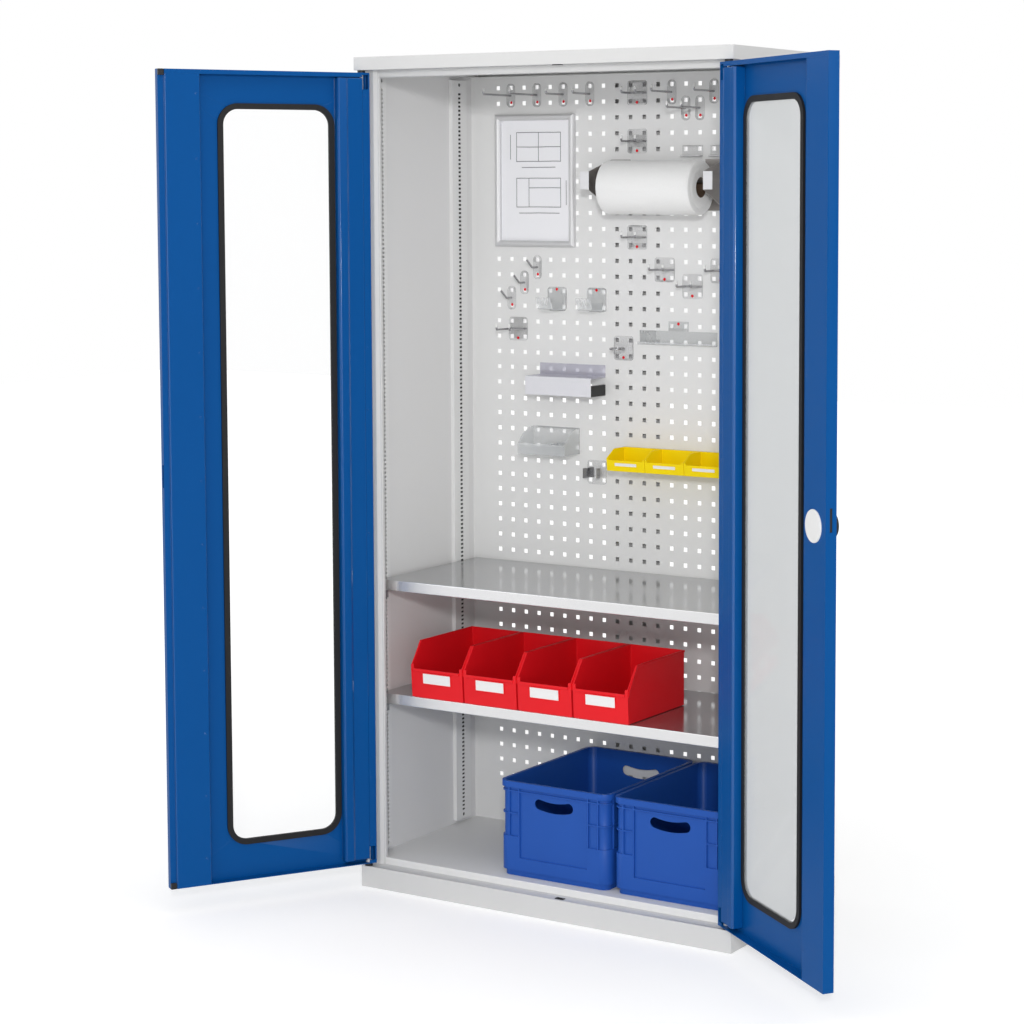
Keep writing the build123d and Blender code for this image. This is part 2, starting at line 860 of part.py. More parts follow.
def lock_cover():
    """Round cover on the inner face of the box stiffener."""
    middle = Pos(lock_from_edge, lock_height)
    disc = along("y", middle * Circle(cover_radius), door_thickness, door_thickness + cover_thickness)
    rim = disc.faces().sort_by(Axis.Y)[-1].edges()
    return fillet(rim, cover_thickness / 2)


def lock_knob():
    """Turning knob outside, its spindle through the lock and the cam on it."""
    middle = Pos(lock_from_edge, lock_height)
    neck = along("y", middle * Circle(knob_neck_radius), -knob_neck, -seat_gap)
    disc = along("y", middle * Circle(knob_radius), -knob_neck - knob_thickness, -knob_neck)
    disc = fillet(disc.faces().sort_by(Axis.Y)[0].edges(), knob_thickness / 5)
    grip = block(
        (lock_from_edge - knob_grip_width / 2, -knob_neck - knob_thickness - knob_grip_depth,
         lock_height - knob_radius * 0.9),
        (lock_from_edge + knob_grip_width / 2, -knob_neck - knob_thickness, lock_height + knob_radius * 0.9),
    )
    spindle = along("y", middle * Circle(spindle_radius), -knob_neck, door_thickness - seat_gap)
    cam_start = rod_depth - cam_thickness / 2
    cam = along("y", middle * Circle(cam_radius), cam_start, cam_start + cam_thickness)
    return neck + disc + grip + spindle + cam


def lock_rod(direction):
    """Flat rod from the lock to the door's top or bottom end."""
    inner = lock_height + direction * rod_start
    end = door_top - rod_rest if direction > 0 else door_bottom + rod_rest
    return rod_slot(min(inner, end), max(inner, end), 0)


def rod_guides():
    """Guides on the door's skin near both ends of the lock rods."""
    guides = []
    for middle in (door_bottom + guide_from_end, door_top - guide_from_end):
        low = (lock_from_edge - guide_width / 2, sheet, middle - guide_height / 2)
        high = (lock_from_edge + guide_width / 2, door_thickness - 2 * sheet, middle + guide_height / 2)
        guides.append(block(low, high) - rod_slot(middle - guide_height, middle + guide_height))
    return guides


def latch_bolt():
    """Bolt in the free edge that locks the two doors together."""
    start = lock_from_edge + case_width / 2 - bolt_tail
    return bolt_slot(start, door_width - bolt_rest, 0)


def hung_left(shape):
    """Place a piece of the left door, opened as it stands."""
    closed = Pos(-half_width + door_edge_inset, 0, 0) * shape
    turn = Pos(-pin_x, pin_depth, 0) * Rot(0, 0, -open_angle_left) * Pos(pin_x, -pin_depth, 0)
    return turn * closed


def hung_right(shape):
    """Place a piece of the right door, opened as it stands."""
    closed = mirrored(Pos(-half_width + door_edge_inset, 0, 0) * shape)
    turn = Pos(pin_x, pin_depth, 0) * Rot(0, 0, open_angle_right) * Pos(-pin_x, -pin_depth, 0)
    return turn * closed


# ------------------------------------------------------------ bins and boxes
def open_bin(width, length, height, wall, front_height, cheek_height, slope, lean):
    """Bin with a low front and sloping cheeks, its front left bottom corner at the origin."""
    side = [(lean, 0), (length, 0), (length, height), (lean + slope, height), (0, cheek_height)]
    body = along("x", polygon(side), 0, width)
    share = cheek_height / lean if lean else 0
    hollow_front = wall + (lean - wall / share if share else 0)
    hollow = [
        (hollow_front, wall),
        (length - wall, wall),
        (length - wall, height + 1),
        (wall - (1 / share if share else 0), height + 1),
        (wall, cheek_height),
    ]
    body -= along("x", polygon(hollow), wall, width - wall)
    scoop = block((3 * wall, -1, front_height), (width - 3 * wall, lean + slope, height + 1))
    return body - scoop


def red_bin(index):
    """Red storage bin on the lower shelf, with a rim along its sides and back."""
    body = open_bin(
        red_bin_width - 2 * red_bin_rim, red_bin_length, red_bin_height, red_bin_wall,
        red_bin_front_height, red_bin_cheek_height, red_bin_slope, red_bin_lean)
    body = Pos(red_bin_rim, 0, 0) * body
    lip_end = 3 * red_bin_wall + red_bin_rim
    body += block(
        (lip_end, -red_bin_rim, red_bin_front_height - red_bin_front_lip),
        (red_bin_width - lip_end, red_bin_wall, red_bin_front_height),
    )
    rim_start = red_bin_lean + red_bin_slope
    for start in (0, red_bin_width - red_bin_rim):
        low = (start, rim_start, red_bin_height - red_bin_rim_height)
        high = (start + red_bin_rim, red_bin_length, red_bin_height)
        body += block(low, high)
    relief = red_bin_foot - red_bin_wall + margin
    side = 2 * red_bin_rim + red_bin_foot
    step = block((0, 0, -margin), (red_bin_width, red_bin_length, relief))
    step -= block(
        (side, red_bin_lean + red_bin_foot, -2 * margin),
        (red_bin_width - side, red_bin_length - red_bin_foot, relief + margin),
    )
    body -= step
    place = (red_bin_left + index * red_bin_pitch, red_bin_front, shelf_tops["shelf_lower"])
    return Pos(*place) * body


def box_relief():
    """Where the box's outside stands proud: bottom band, corner blocks and ribs."""
    def slab(across, endways, low, high):
        """Block between two places across and endways, and two heights."""
        return block((across[0], endways[0], low), (across[1], endways[1], high))
    full = ((0, box_width), (0, box_length))
    rib_top = box_height - box_rim_height
    relief = slab(*full, box_foot_height, box_sill_height)
    relief += slab(*full, box_band_level, box_band_level + box_rib)
    for across in ((0, box_corner), (box_width - box_corner, box_width)):
        for endways in ((0, box_corner), (box_length - box_corner, box_length)):
            relief += slab(across, endways, box_sill_height, box_block_height)
            relief += slab(across, endways, box_rib_level, box_rib_level + box_rib)
    for place in (box_rib_place, box_corner - box_rib):
        for start in (place, box_width - place - box_rib):
            relief += slab((start, start + box_rib), full[1], box_block_height, rib_top)
        for start in (place, box_length - place - box_rib):
            relief += slab(full[0], (start, start + box_rib), box_block_height, rib_top)
    return relief


def blue_box(left):
    """Open stacking box with a stepped foot, rim, corner columns and two curved grips."""
    def tier(inset, bottom, top):
        """Part of the box's outside, drawn in from its full size."""
        outline = panel_outline(inset, box_width - inset, inset, box_length - inset, box_radius - inset)
        return along("z", outline, bottom, top)
    rim_start = box_height - box_rim_height
    body = tier(box_foot_inset, 0, box_foot_height)
    body += tier(box_skin_inset, box_foot_height, rim_start)
    body += tier(0, rim_start, box_height)
    body += tier(box_relief_inset, box_foot_height, rim_start) & box_relief()
    step = box_foot_height + box_wall
    body -= tier(box_foot_inset + box_wall, box_wall, step)
    body -= tier(box_skin_inset + box_wall, step, box_height + margin)
    reach = (box_grip_width - box_grip_height) / 2
    curve = ThreePointArc((-reach, 0), (0, -box_grip_sag), (reach, 0))
    grip = Pos(box_width / 2, box_grip_level) * SlotArc(curve, box_grip_height)
    body -= along("y", grip, -margin, box_length + margin)
    return Pos(left, box_front, floor_top) * body


def yellow_bin(index):
    """Small yellow bin that hangs on the rail by a lip at its back."""
    top = hole_z(yellow_bin_row)
    body = open_bin(
        yellow_bin_width, yellow_bin_depth, yellow_bin_height, yellow_bin_wall,
        yellow_bin_front_height, yellow_bin_front_height + yellow_bin_cheek_rise,
        yellow_bin_slope, yellow_bin_lean)
    back = yellow_bin_depth
    seat = yellow_bin_height - yellow_bin_bridge
    lip_end = back + bin_rail_shelf - sheet + yellow_bin_lip_gap
    bridge = block((0, back, seat), (yellow_bin_width, lip_end, yellow_bin_height))
    hook = block(
        (0, lip_end - yellow_bin_bridge, seat - bin_rail_upstand),
        (yellow_bin_width, lip_end, yellow_bin_height),
    )
    body = body + bridge + hook
    rail_face_y = panel_front - bin_rail_thickness
    y = rail_face_y - bin_rail_shelf - seat_gap - yellow_bin_depth
    x = yellow_bin_left + index * yellow_bin_pitch
    z = top + bin_rail_upstand + seat_gap - seat
    return Pos(x, y, z) * body


def bin_rail():
    """Rail on the panel with an upturned edge for the yellow bins."""
    start = yellow_bin_left - bin_rail_end
    stop = yellow_bin_left + (yellow_bin_count - 1) * yellow_bin_pitch + yellow_bin_width + bin_rail_end
    top = hole_z(yellow_bin_row)
    face = panel_front - bin_rail_thickness
    rail = block((start, face, top - bin_rail_drop), (stop, panel_front, top + peg_size / 2))
    rail += block((start, face - bin_rail_shelf, top - sheet), (stop, face, top))
    rail += block(
        (start, face - bin_rail_shelf, top - sheet),
        (stop, face - bin_rail_shelf + sheet, top + bin_rail_upstand),
    )
    for column in bin_rail_pegs:
        rail += peg(column, yellow_bin_row)
    return rail


# ------------------------------------------------------------ panel fittings
def peg(column, row):
    """Square peg of a fitting, through one of the panel's holes."""
    half = peg_size / 2
    x, z = hole_x(column), hole_z(row)
    return block((x - half, panel_front, z - half), (x + half, panel_back + peg_length, z + half))


def single_plate(column, row):
    """Back plate over one column of holes, from this row to the next."""
    x, z = hole_x(column), hole_z(row + 0.5)
    outline = Pos(x, z) * RectangleRounded(plate_width, plate_height, plate_width / 2 - 0.1)
    plate = along("y", outline, panel_front - plate_thickness, panel_front)
    return plate + peg(column, row) + peg(column, row + 1)


def double_plate(column, row, height=plate_height):
    """Back plate over two columns of holes."""
    x, z = hole_x(column + 0.5), hole_z(row + 0.5)
    outline = Pos(x, z) * RectangleRounded(double_plate_width, height, plate_width / 3)
    plate = along("y", outline, panel_front - plate_thickness, panel_front)
    return plate + peg(column, row) + peg(column + 1, row)


def straight_hook(column, row, reach):
    """Single hook: a level rod with its end turned up."""
    x, z = hole_x(column), hole_z(row + 0.5)
    face = panel_front - plate_thickness / 2
    points = [(x, face, z), (x, face - reach, z), (x, face - reach, z + tip_height)]
    return single_plate(column, row) + bent_rod(points, rod_radius, rod_bend)


def angled_hook(column, row, reach=46.0, rise=18.0):
    """Single hook: a short rod that slants upwards."""
    x, z = hole_x(column), hole_z(row + 0.5)
    face = panel_front - plate_thickness / 2
    points = [(x, face, z), (x, face - reach / 2, z), (x, face - reach, z + rise)]
    return single_plate(column, row) + bent_rod(points, rod_radius, rod_bend)


def double_hook(column, row, reach=double_hook_reach):
    """Two level rods on one plate, with a cross bar between them."""
    z = hole_z(row + 0.5)
    face = panel_front - plate_thickness / 2
    body = double_plate(column, row)
    for x in (hole_x(column), hole_x(column + 1)):
        points = [(x, face, z), (x, face - reach, z), (x, face - reach, z + tip_height)]
        body += bent_rod(points, rod_radius, rod_bend)
    bar_y = panel_front - plate_thickness - cross_bar_radius / 2
    start, stop = hole_x(column) - cross_bar_overhang, hole_x(column + 1) + cross_bar_overhang
    return body + cross_bar(cross_bar_radius, bar_y, z, start, stop)


def small_bracket(column, row):
    """Narrow two-column bracket with a short ledge."""
    x, z = hole_x(column + 0.5), hole_z(row)
    half = double_plate_width / 2
    low, high = z - bracket_drop, z + bracket_rise
    body = block((x - half, panel_front - plate_thickness, low), (x + half, panel_front, high))
    front = panel_front - bracket_ledge
    body += block((x - half, front, low), (x + half, panel_front, low + plate_thickness))
    return body + peg(column, row) + peg(column + 1, row)


def clamp_holder(column, row):
    """Plate with a broad sprung hand that curls up into three fingers."""
    z = hole_z(row + 0.5)
    x = hole_x(column + 0.5)
    face = panel_front - plate_thickness
    path = [(face - reach, z + rise) for reach, rise in clamp_profile]
    hand = along("x", folded(path, radius=clamp_bend), x - clamp_width / 2, x + clamp_width / 2)
    half = clamp_gap / 2
    for side in (-1, 1):
        middle = x + side * clamp_gap_offset
        low = (middle - half, face - clamp_width * 2, z - clamp_gap_height / 2)
        high = (middle + half, face - clamp_gap_start, z + clamp_gap_height / 2)
        hand -= block(low, high)
    return double_plate(column, row) + hand


def ring_hook(column, row):
    """Plate with a level wire ring for a hand tool."""
    x, z = hole_x(column + 0.5), hole_z(row + 0.5)
    face = panel_front - plate_thickness
    ring = Pos(x, face - ring_hook_arm - ring_hook_radius, z) * Torus(ring_hook_radius, rod_radius)
    start = face - ring_hook_arm - rod_radius / 2
    stem = along("y", Pos(x, z) * Circle(rod_radius), start, panel_front - plate_thickness / 2)
    return double_plate(column, row) + stem + ring


def spring_clip(column, row):
    """Plate with two sprung cheeks that grip a handle."""
    x, z = hole_x(column + 0.5), hole_z(row + 0.5)
    face = panel_front - plate_thickness
    body = double_plate(column, row)
    path = [(x - opening, face - reach) for opening, reach in clip_profile]
    cheek = folded(path, thickness=clip_sheet, radius=clip_bend)
    for section in (cheek, mirror(cheek, about=Plane(origin=(x, 0, 0), z_dir=(1, 0, 0)))):
        body += along("z", section, z - clip_band / 2, z + clip_band / 2)
    return body


def document_frame():
    """Frame for a paper sheet, with bevelled rails and a back plate."""
    x, z = document_centre
    front = panel_front - document_depth
    outer = Pos(x, z) * Rectangle(document_width, document_height)
    inner = Pos(x, z) * Rectangle(document_width - 2 * document_rail, document_height - 2 * document_rail)
    rails = along("y", outer - inner, front, panel_front)
    face = rails.faces().sort_by(Axis.Y)[0]
    rails = chamfer(face.edges(), document_bevel)
    back = along("y", outer, panel_front - document_back, panel_front)
    body = rails + back
    for place in document_pegs:
        body += peg(*place)
    return body


def document_sheet():
    """Paper sheet behind the frame's rails."""
    x, z = document_centre
    width = min(paper_width, document_width - 2 * document_rail)
    height = min(paper_height, document_height - 2 * document_rail)
    back = panel_front - document_back
    return along("y", Pos(x, z) * Rectangle(width, height), back - paper_thickness, back)


def roll_centre():
    """Depth and height of the roll's middle, hanging on its bar."""
    drop = roll_bore_radius - holder_bar_radius - seat_gap
    return panel_front - roll_wall_gap - roll_radius, holder_bar_height - drop


def paper_roll():
    """Roll of paper towels with its open core."""
    y, z = roll_centre()
    ring = Pos(y, z) * (Circle(roll_radius) - Circle(roll_bore_radius))
    return along("x", ring, roll_left, roll_left + roll_length)


def roll_holder():
    """Two sheet brackets and the bar that carries the roll."""
    bar_y, _ = roll_centre()
    tip = bar_y - holder_tip_reach
    half = holder_plate_height / 2
    root_middle = holder_bar_height - holder_tip_height / 4
    arm = [
        (panel_front, root_middle + half),
        (panel_front, root_middle - half),
        (tip, holder_bar_height - holder_tip_height / 2),
        (tip, holder_bar_height + holder_tip_height / 2),
    ]
    pieces = []
    for x, side in ((holder_left, -1), (holder_right, 1)):
        start, stop = min(x, x + side * holder_sheet), max(x, x + side * holder_sheet)
        bracket = along("x", polygon(arm), start, stop)
        inward = x - side * holder_plate_width
        bracket += block(
            (min(inward, x), panel_front - holder_sheet, root_middle - half),
            (max(inward, x), panel_front, root_middle + half),
        )
        outward = x + side * holder_tip_width
        bracket += block(
            (min(outward, x), tip, holder_bar_height - holder_tip_height / 2),
            (max(outward, x), tip + holder_sheet, holder_bar_height + holder_tip_height / 2),
        )
        bracket -= cross_bar(holder_bar_radius + push_gap, bar_y, holder_bar_height, start - 1, stop + 1)
        pieces.append(bracket)
    end = holder_bar_end
    bar = cross_bar(holder_bar_radius, bar_y, holder_bar_height, holder_left - end, holder_right + end)
    for x, side in ((holder_left, -1), (holder_right, 1)):
        face = x + side * holder_sheet
        start, stop = min(face, face + side * end), max(face, face + side * end)
        bar += cross_bar(holder_bar_radius + holder_nut_rise, bar_y, holder_bar_height, start, stop)
    return pieces + [bar]


def marker_tray():
    """Tray for markers: front apron, level top, low rim on the panel and two end blocks."""
    front = panel_front - tray_depth
    top = tray_bottom + tray_front_height
    path = [
        (front + tray_wall, tray_bottom),
        (front + tray_wall, top - tray_wall),
        (panel_front, top - tray_wall),
        (panel_front, top + tray_rim_height),
    ]
    tray = along("x", folded(path, thickness=tray_wall), tray_left, tray_left + tray_width)
    for start in (tray_left, tray_left + tray_width - tray_end):
        low = (start, front + tray_wall, tray_bottom)
        high = (start + tray_end, panel_front, tray_bottom + tray_end_height)
        tray += block(low, high)
    return tray


def bit_rack():
    """Clear rack: high back, low front, curved cheeks and a row of fins."""
    front = panel_front - rack_depth
    low = rack_bottom
    cheek = make_face(
        Polyline((panel_front, low + rack_back_height), (panel_front, low), (front, low),
                 (front, low + rack_front_height))
        + RadiusArc(
            (front, low + rack_front_height), (panel_front, low + rack_back_height), rack_cheek_radius)
    )
    right = rack_left + rack_width
    body = along("x", cheek, rack_left, right)
    hollow = block(
        (rack_left + rack_wall, front + rack_wall, low + rack_wall),
        (right - rack_wall, panel_front - rack_wall, low + rack_back_height + 1),
    )
    body -= hollow
    pitch = rack_width / (rack_fins + 1)
    for index in range(rack_fins):
        left = rack_left + pitch * (index + 1) - rack_fin_width / 2
        depth = panel_front - rack_depth * (rack_fin_reach[0] + rack_fin_reach[1] * index / rack_fins)
        height = low + rack_wall + rack_fin_height + index * rack_fin_step
        corner = (left + rack_fin_width, panel_front - rack_wall / 2, height)
        body += block((left, depth, low + rack_wall / 2), corner)
    return body


def tool_rail():
    """Long rail for spanners with an upturned lip, hung by a small plate."""
    stop = tool_rail_left + tool_rail_length
    top = tool_rail_bottom + tool_rail_height
    front = panel_front - tool_rail_lip
    path = [
        (front, tool_rail_bottom + tool_rail_upturn),
        (front, tool_rail_bottom),
        (panel_front, tool_rail_bottom),
        (panel_front, top),
    ]
    rail = along("x", folded(path), tool_rail_left, stop)
    left, right = [hole_x(column) for column in tool_rail_columns]
    low = (left - tool_rail_tab_side, panel_front - sheet, tool_rail_bottom)
    high = (right + tool_rail_tab_side, panel_front, hole_z(tool_rail_row) + tool_rail_tab_rise)
    rail += block(low, high)
    for column in tool_rail_columns:
        rail += peg(column, tool_rail_row)
    return rail


# -------------------------------------------------------------------- build
def add(name, shape):
    """Keep one node: a single solid or a list of separate solids."""
    solids = shape if isinstance(shape, list) else [shape]
    moved = [Pos(0, -cabinet_depth / 2, 0) * solid for solid in solids]
    parts = [single for piece in moved for single in piece.solids()]
    nodes[name] = parts[0] if len(parts) == 1 else Compound(children=parts)


def build_carcass():
    """Walls, frame, panel, rails, shelves and the fixed hinge and lock pieces."""
    right_wall = side_wall()
    add("side_right", right_wall)
    add("side_left", mirrored(right_wall))
    add("top_cap", top_cap())
    add("plinth_frame", plinth_frame())
    add("header_rail", header_rail())
    add("floor_tray", floor_tray())
    add("perforated_panel", perforated_panel())
    add("panel_stiffener", panel_stiffener())
    for place, centre, width in (
        ("front", front_rail_centre, front_rail_width),
        ("rear", rear_rail_centre, rear_rail_width),
    ):
        rail = slotted_rail(centre, width)
        add(f"rails_{place}", [rail, mirrored(rail)])
    for name, top in shelf_tops.items():
        add(name, shelf(top))
    add("shelf_clips", shelf_clips())
    add("hinge_bushes", hinge_bushes())
    add("rod_keeps", [keep_insert(lid_underside, -1), keep_insert(plinth_height, 1)])


def build_doors():
    """Both doors with their windows and hinges, and the lock in the right one."""
    for side, hung, stepped in (("left", hung_left, True), ("right", hung_right, False)):
        add(f"door_{side}_pan", hung(door_pan(stepped)))
        add(f"door_{side}_hinge_profile", hung(hinge_profile()))
        add(f"door_{side}_lock_profile", hung(lock_profile(stepped)))
        add(f"door_{side}_pane", hung(window_pane()))
        add(f"door_{side}_gasket", hung(window_gasket()))
        add(f"door_{side}_hinge_pins", [hung(pin) for pin in hinge_pins()])
    add("door_left_strip_caps", [hung_left(cap) for cap in strip_caps()])
    add("lock_case", hung_right(lock_case()))
    add("lock_cover", hung_right(lock_cover()))
    add("lock_knob", hung_right(lock_knob()))
    add("lock_rod_upper", hung_right(lock_rod(1)))
    add("lock_rod_lower", hung_right(lock_rod(-1)))
    add("lock_rod_guides", [hung_right(guide) for guide in rod_guides()])
    add("latch_bolt", hung_right(latch_bolt()))


def build_containers():
    """Red bins, blue boxes and the yellow bins with their rail."""
    for index in range(red_bin_count):
        add(f"red_bin_{index + 1}", red_bin(index))
    right_box = frame_inner - box_post_gap - box_width
    add("blue_box_1", blue_box(right_box - box_gap - box_width))
    add("blue_box_2", blue_box(right_box))
    add("bin_rail", bin_rail())
    for index in range(yellow_bin_count):
        add(f"yellow_bin_{index + 1}", yellow_bin(index))


def build_fittings():
    """Everything that hangs on the perforated panel."""
    straight = [(1, 0, 118), (3, 0, 118), (5, 0, 76), (7, 0, 76)]
    straight += [(13, 0, 94), (16, 0, 94), (14, 1, 88), (15, 1, 88)]
    add("straight_hooks", [straight_hook(*place) for place in straight])
    add("angled_hooks", [angled_hook(*place) for place in ((3, 11), (2, 12), (1, 13))])
    doubles = [(10, 0), (10, 3), (10, 9), (12, 11), (14, 12), (16, 11)]
    add("double_hooks", [double_hook(*place) for place in doubles] + [double_hook(1, 15, 68)])
    add("small_brackets", [small_bracket(14, 4), small_bracket(16, 4)])
    add("clamp_holders", [clamp_holder(4, 13), clamp_holder(7, 13)])
    add("ring_hook", ring_hook(9, 16))
    add("spring_clip", spring_clip(7, 24))
    add("tool_rail", tool_rail())
    add("document_frame", document_frame())
    add("document_sheet", document_sheet())
    add("roll_holder", roll_holder())
    add("paper_roll", paper_roll())
    add("marker_tray", marker_tray())
    add("bit_rack", bit_rack())


build_carcass()
build_doors()
build_containers()
build_fittings()

os.makedirs("parts", exist_ok=True)
for name, shape in nodes.items():
    export_step(shape, f"parts/{name}.step")
print(len(nodes), "nodes written")
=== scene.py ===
# %% [markdown]
# # A steel tool cabinet with two window doors
#
# The cabinet is folded from sheet steel: a light grey carcass, a perforated
# back panel full of tool fittings, two zinc plated shelves with plastic bins
# and two blue doors with long windows. Its sizes and its joints come from the
# CAD model, which is loaded here as a fixed frame. Blender adds what a drawing
# does not hold: finishes, labels, caps, weld marks, paper and light.
#
# Everything is in metres. X runs to the right, Z up, and the front of the
# cabinet looks along -Y.

# %% Load the frame
import bmesh
import bpy
import math
from mathutils import Matrix, Vector
from mathutils.bvhtree import BVHTree


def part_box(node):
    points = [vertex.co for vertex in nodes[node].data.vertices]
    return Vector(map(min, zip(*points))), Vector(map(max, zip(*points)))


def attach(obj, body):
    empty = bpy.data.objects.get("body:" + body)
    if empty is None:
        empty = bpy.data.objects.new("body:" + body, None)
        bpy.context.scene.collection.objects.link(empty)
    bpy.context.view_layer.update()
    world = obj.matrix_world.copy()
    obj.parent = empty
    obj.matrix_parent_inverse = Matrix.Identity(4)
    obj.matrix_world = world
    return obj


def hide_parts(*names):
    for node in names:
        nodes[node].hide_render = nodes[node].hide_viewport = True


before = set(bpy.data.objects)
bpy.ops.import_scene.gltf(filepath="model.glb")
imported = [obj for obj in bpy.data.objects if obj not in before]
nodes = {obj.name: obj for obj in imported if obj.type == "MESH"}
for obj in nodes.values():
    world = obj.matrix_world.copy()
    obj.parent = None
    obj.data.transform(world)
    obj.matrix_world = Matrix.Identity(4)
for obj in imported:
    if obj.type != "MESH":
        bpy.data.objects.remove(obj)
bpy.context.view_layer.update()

# %% [markdown]
# ## Writing materials as sums
#
# A Blender material is a net of nodes. Joining dozens of Math nodes by hand
# hides the idea, so a small class wraps one output socket and overloads + - *
# and /. Each sum then adds its own Math node, and `1 - mask` works as well.
# Numbers alone are worked out in Python and never become nodes.

# %% A socket that can be added and multiplied
class Value:
    """One output of a node, used in ordinary sums."""

    def __init__(self, net, socket):
        self.net, self.socket = net, socket

    def math(self, operation, *others):
        """A Math node on this value and the others."""
        sockets = dict(enumerate((self,) + others))
        return self.net.node("ShaderNodeMath", {"operation": operation}, sockets)

    def __add__(self, other):
        return self.math("ADD", other)

    def __radd__(self, other):
        return self.math("ADD", other)

    def __sub__(self, other):
        return self.math("SUBTRACT", other)

    def __rsub__(self, other):
        return (self * -1.0) + other

    def __mul__(self, other):
        return self.math("MULTIPLY", other)

    def __rmul__(self, other):
        return self.math("MULTIPLY", other)

    def __truediv__(self, other):
        return self.math("DIVIDE", other)

    def __abs__(self):
        return self.math("ABSOLUTE")

    def __gt__(self, other):
        return self.math("GREATER_THAN", other)

    def __lt__(self, other):
        return self.math("LESS_THAN", other)

    def clamp(self):
        """The same value, kept between 0 and 1."""
        return self.math("MINIMUM", 1.0).math("MAXIMUM", 0.0)


print("sums ready")

# %% [markdown]
# ## One net, one method
#
# Every node comes from one method. It takes the node's type, then its settings,
# then what goes into its sockets, so a texture takes one line. The same method
# serves the materials and, at the end, the world.

# %% A net of nodes
class Net:
    """A node tree that starts empty."""

    def __init__(self, tree):
        self.tree = tree
        self.tree.nodes.clear()

    def node(self, kind, settings=None, sockets=None, take=0):
        """Make a node and give one of its outputs, or all of them if take is None."""
        made = self.tree.nodes.new(kind)
        for key, value in (settings or {}).items():
            setattr(made, key, value)
        for key, value in (sockets or {}).items():
            if isinstance(value, Value):
                self.tree.links.new(value.socket, made.inputs[key])
            else:
                made.inputs[key].default_value = value
        if take is None:
            return [Value(self, output) for output in made.outputs]
        return Value(self, made.outputs[take])


print("nets ready")

# %% [markdown]
# ## One finish, one helper
#
# Every finish is a net that ends in the Principled shader. Patterns read Object
# coordinates: every piece keeps its place in its mesh, so a pattern has the
# same scale on all of them, in metres. Colours go through the Mix node, because
# a Math node would turn them grey.

# %% The finish helper
def opaque(value):
    """A plain colour with a fourth number for alpha, anything else as it is."""
    return value + (1.0,) if isinstance(value, tuple) and len(value) == 3 else value


def shaded(colour, share):
    """The same colour, a little darker or lighter."""
    return tuple(part * share for part in colour)


class Finish(Net):
    """A material with one Principled shader and the nodes that feed it."""

    def __init__(self, name, **constants):
        self.material = bpy.data.materials.new(name)
        self.material.use_nodes = True
        super().__init__(self.material.node_tree)
        surface = self.node("ShaderNodeBsdfPrincipled")
        self.node("ShaderNodeOutputMaterial", None, {"Surface": surface}, None)
        self.shader = surface.socket.node
        for socket, value in constants.items():
            self.set(socket.replace("_", " "), value)

    def set(self, socket, value):
        """Give a socket of the shader a constant, or link a value into it."""
        if isinstance(value, Value):
            self.tree.links.new(value.socket, self.shader.inputs[socket])
        else:
            self.shader.inputs[socket].default_value = opaque(value)

    def point(self, stretch=(1, 1, 1)):
        """Object coordinates, stretched along the axes."""
        sockets = {"Vector": self.node("ShaderNodeTexCoord", take="Object"), "Scale": stretch}
        return self.node("ShaderNodeMapping", None, sockets)

    def axes(self):
        """X, Y and Z of the shaded point, in metres."""
        place = self.node("ShaderNodeTexCoord", take="Object")
        return self.node("ShaderNodeSeparateXYZ", None, {"Vector": place}, None)

    def noise(self, scale, detail=3.0, stretch=(1, 1, 1)):
        """Soft random pattern from 0 to 1."""
        sockets = {"Vector": self.point(stretch), "Scale": scale, "Detail": detail}
        return self.node("ShaderNodeTexNoise", None, sockets)

    def cells(self, scale, take):
        """Voronoi cells: their Distance from the middle, or a Color for each."""
        sockets = {"Vector": self.point(), "Scale": scale}
        return self.node("ShaderNodeTexVoronoi", None, sockets, take)

    def facing(self, blend):
        """Rises towards 1 where the surface turns away from the eye."""
        return self.node("ShaderNodeLayerWeight", None, {"Blend": blend}, "Facing")

    def mix(self, share, first, second):
        """Colour between two colours. Sockets 0, 6, 7 and output 2 are the colour ones."""
        sockets = {0: share, 6: opaque(first), 7: opaque(second)}
        return self.node("ShaderNodeMix", {"data_type": "RGBA"}, sockets, 2)

    def bump(self, height, strength, distance):
        """Turn a height into surface relief."""
        sockets = {"Height": height, "Strength": strength, "Distance": distance}
        self.set("Normal", self.node("ShaderNodeBump", None, sockets))


print("finish helper ready")

# %% [markdown]
# ## Powder coat
#
# The carcass and the doors are powder coated: the paint melts into a hard skin
# with a faint orange peel. A low bump on a fine noise gives that skin its
# broken highlight. A second, slow noise moves the shade by a percent or two,
# as large sheets never look quite even. A picture of paint would stretch over
# the folds; noise in Object coordinates does not. Inside the cabinet the walls
# and the panel carry painted light: they are coloured lighter than the outer
# grey. The walls also carry a painted shade, dark in the hollow of the rear
# rails, where only the slots let light in.

# %% Masks on the side walls
inner_face_x, outer_face_x = 0.4975, 0.4992
post_back_y = -0.2005
rail_low, rail_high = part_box("rails_rear")
rail_middle_y = (rail_low.y + rail_high.y) / 2
hollow_half, hollow_end = 0.0285, 0.003


def wall_inside_painted_light(finish):
    """Mask for painted light: the walls' inner faces, behind the front posts."""
    x, y, _ = finish.axes()
    return (abs(x) < outer_face_x) * (y > post_back_y)


def rail_hollow_painted_shade(finish):
    """Mask for painted shade: the walls' inner faces inside the hollow of the rear rails."""
    x, y, z = finish.axes()
    face = (abs(x) > inner_face_x) * (abs(x) < outer_face_x)
    height = (z > (rail_low.z + hollow_end)) * (z < (rail_high.z - hollow_end))
    return face * height * (abs(y - rail_middle_y) < hollow_half)


print("rear rails from", round(rail_low.z, 3), "to", round(rail_high.z, 3))

# %% [markdown]
# The doors shine along their folds and are plain elsewhere. A fold is a narrow
# face that looks along no axis of its door, so the normal, turned back by the
# angle at which that door stands open, tells where the folds are. They get a
# second, glossier coat.

# %% The rounded bends of a door
square_limit, bend_gain = 0.997, 12.0


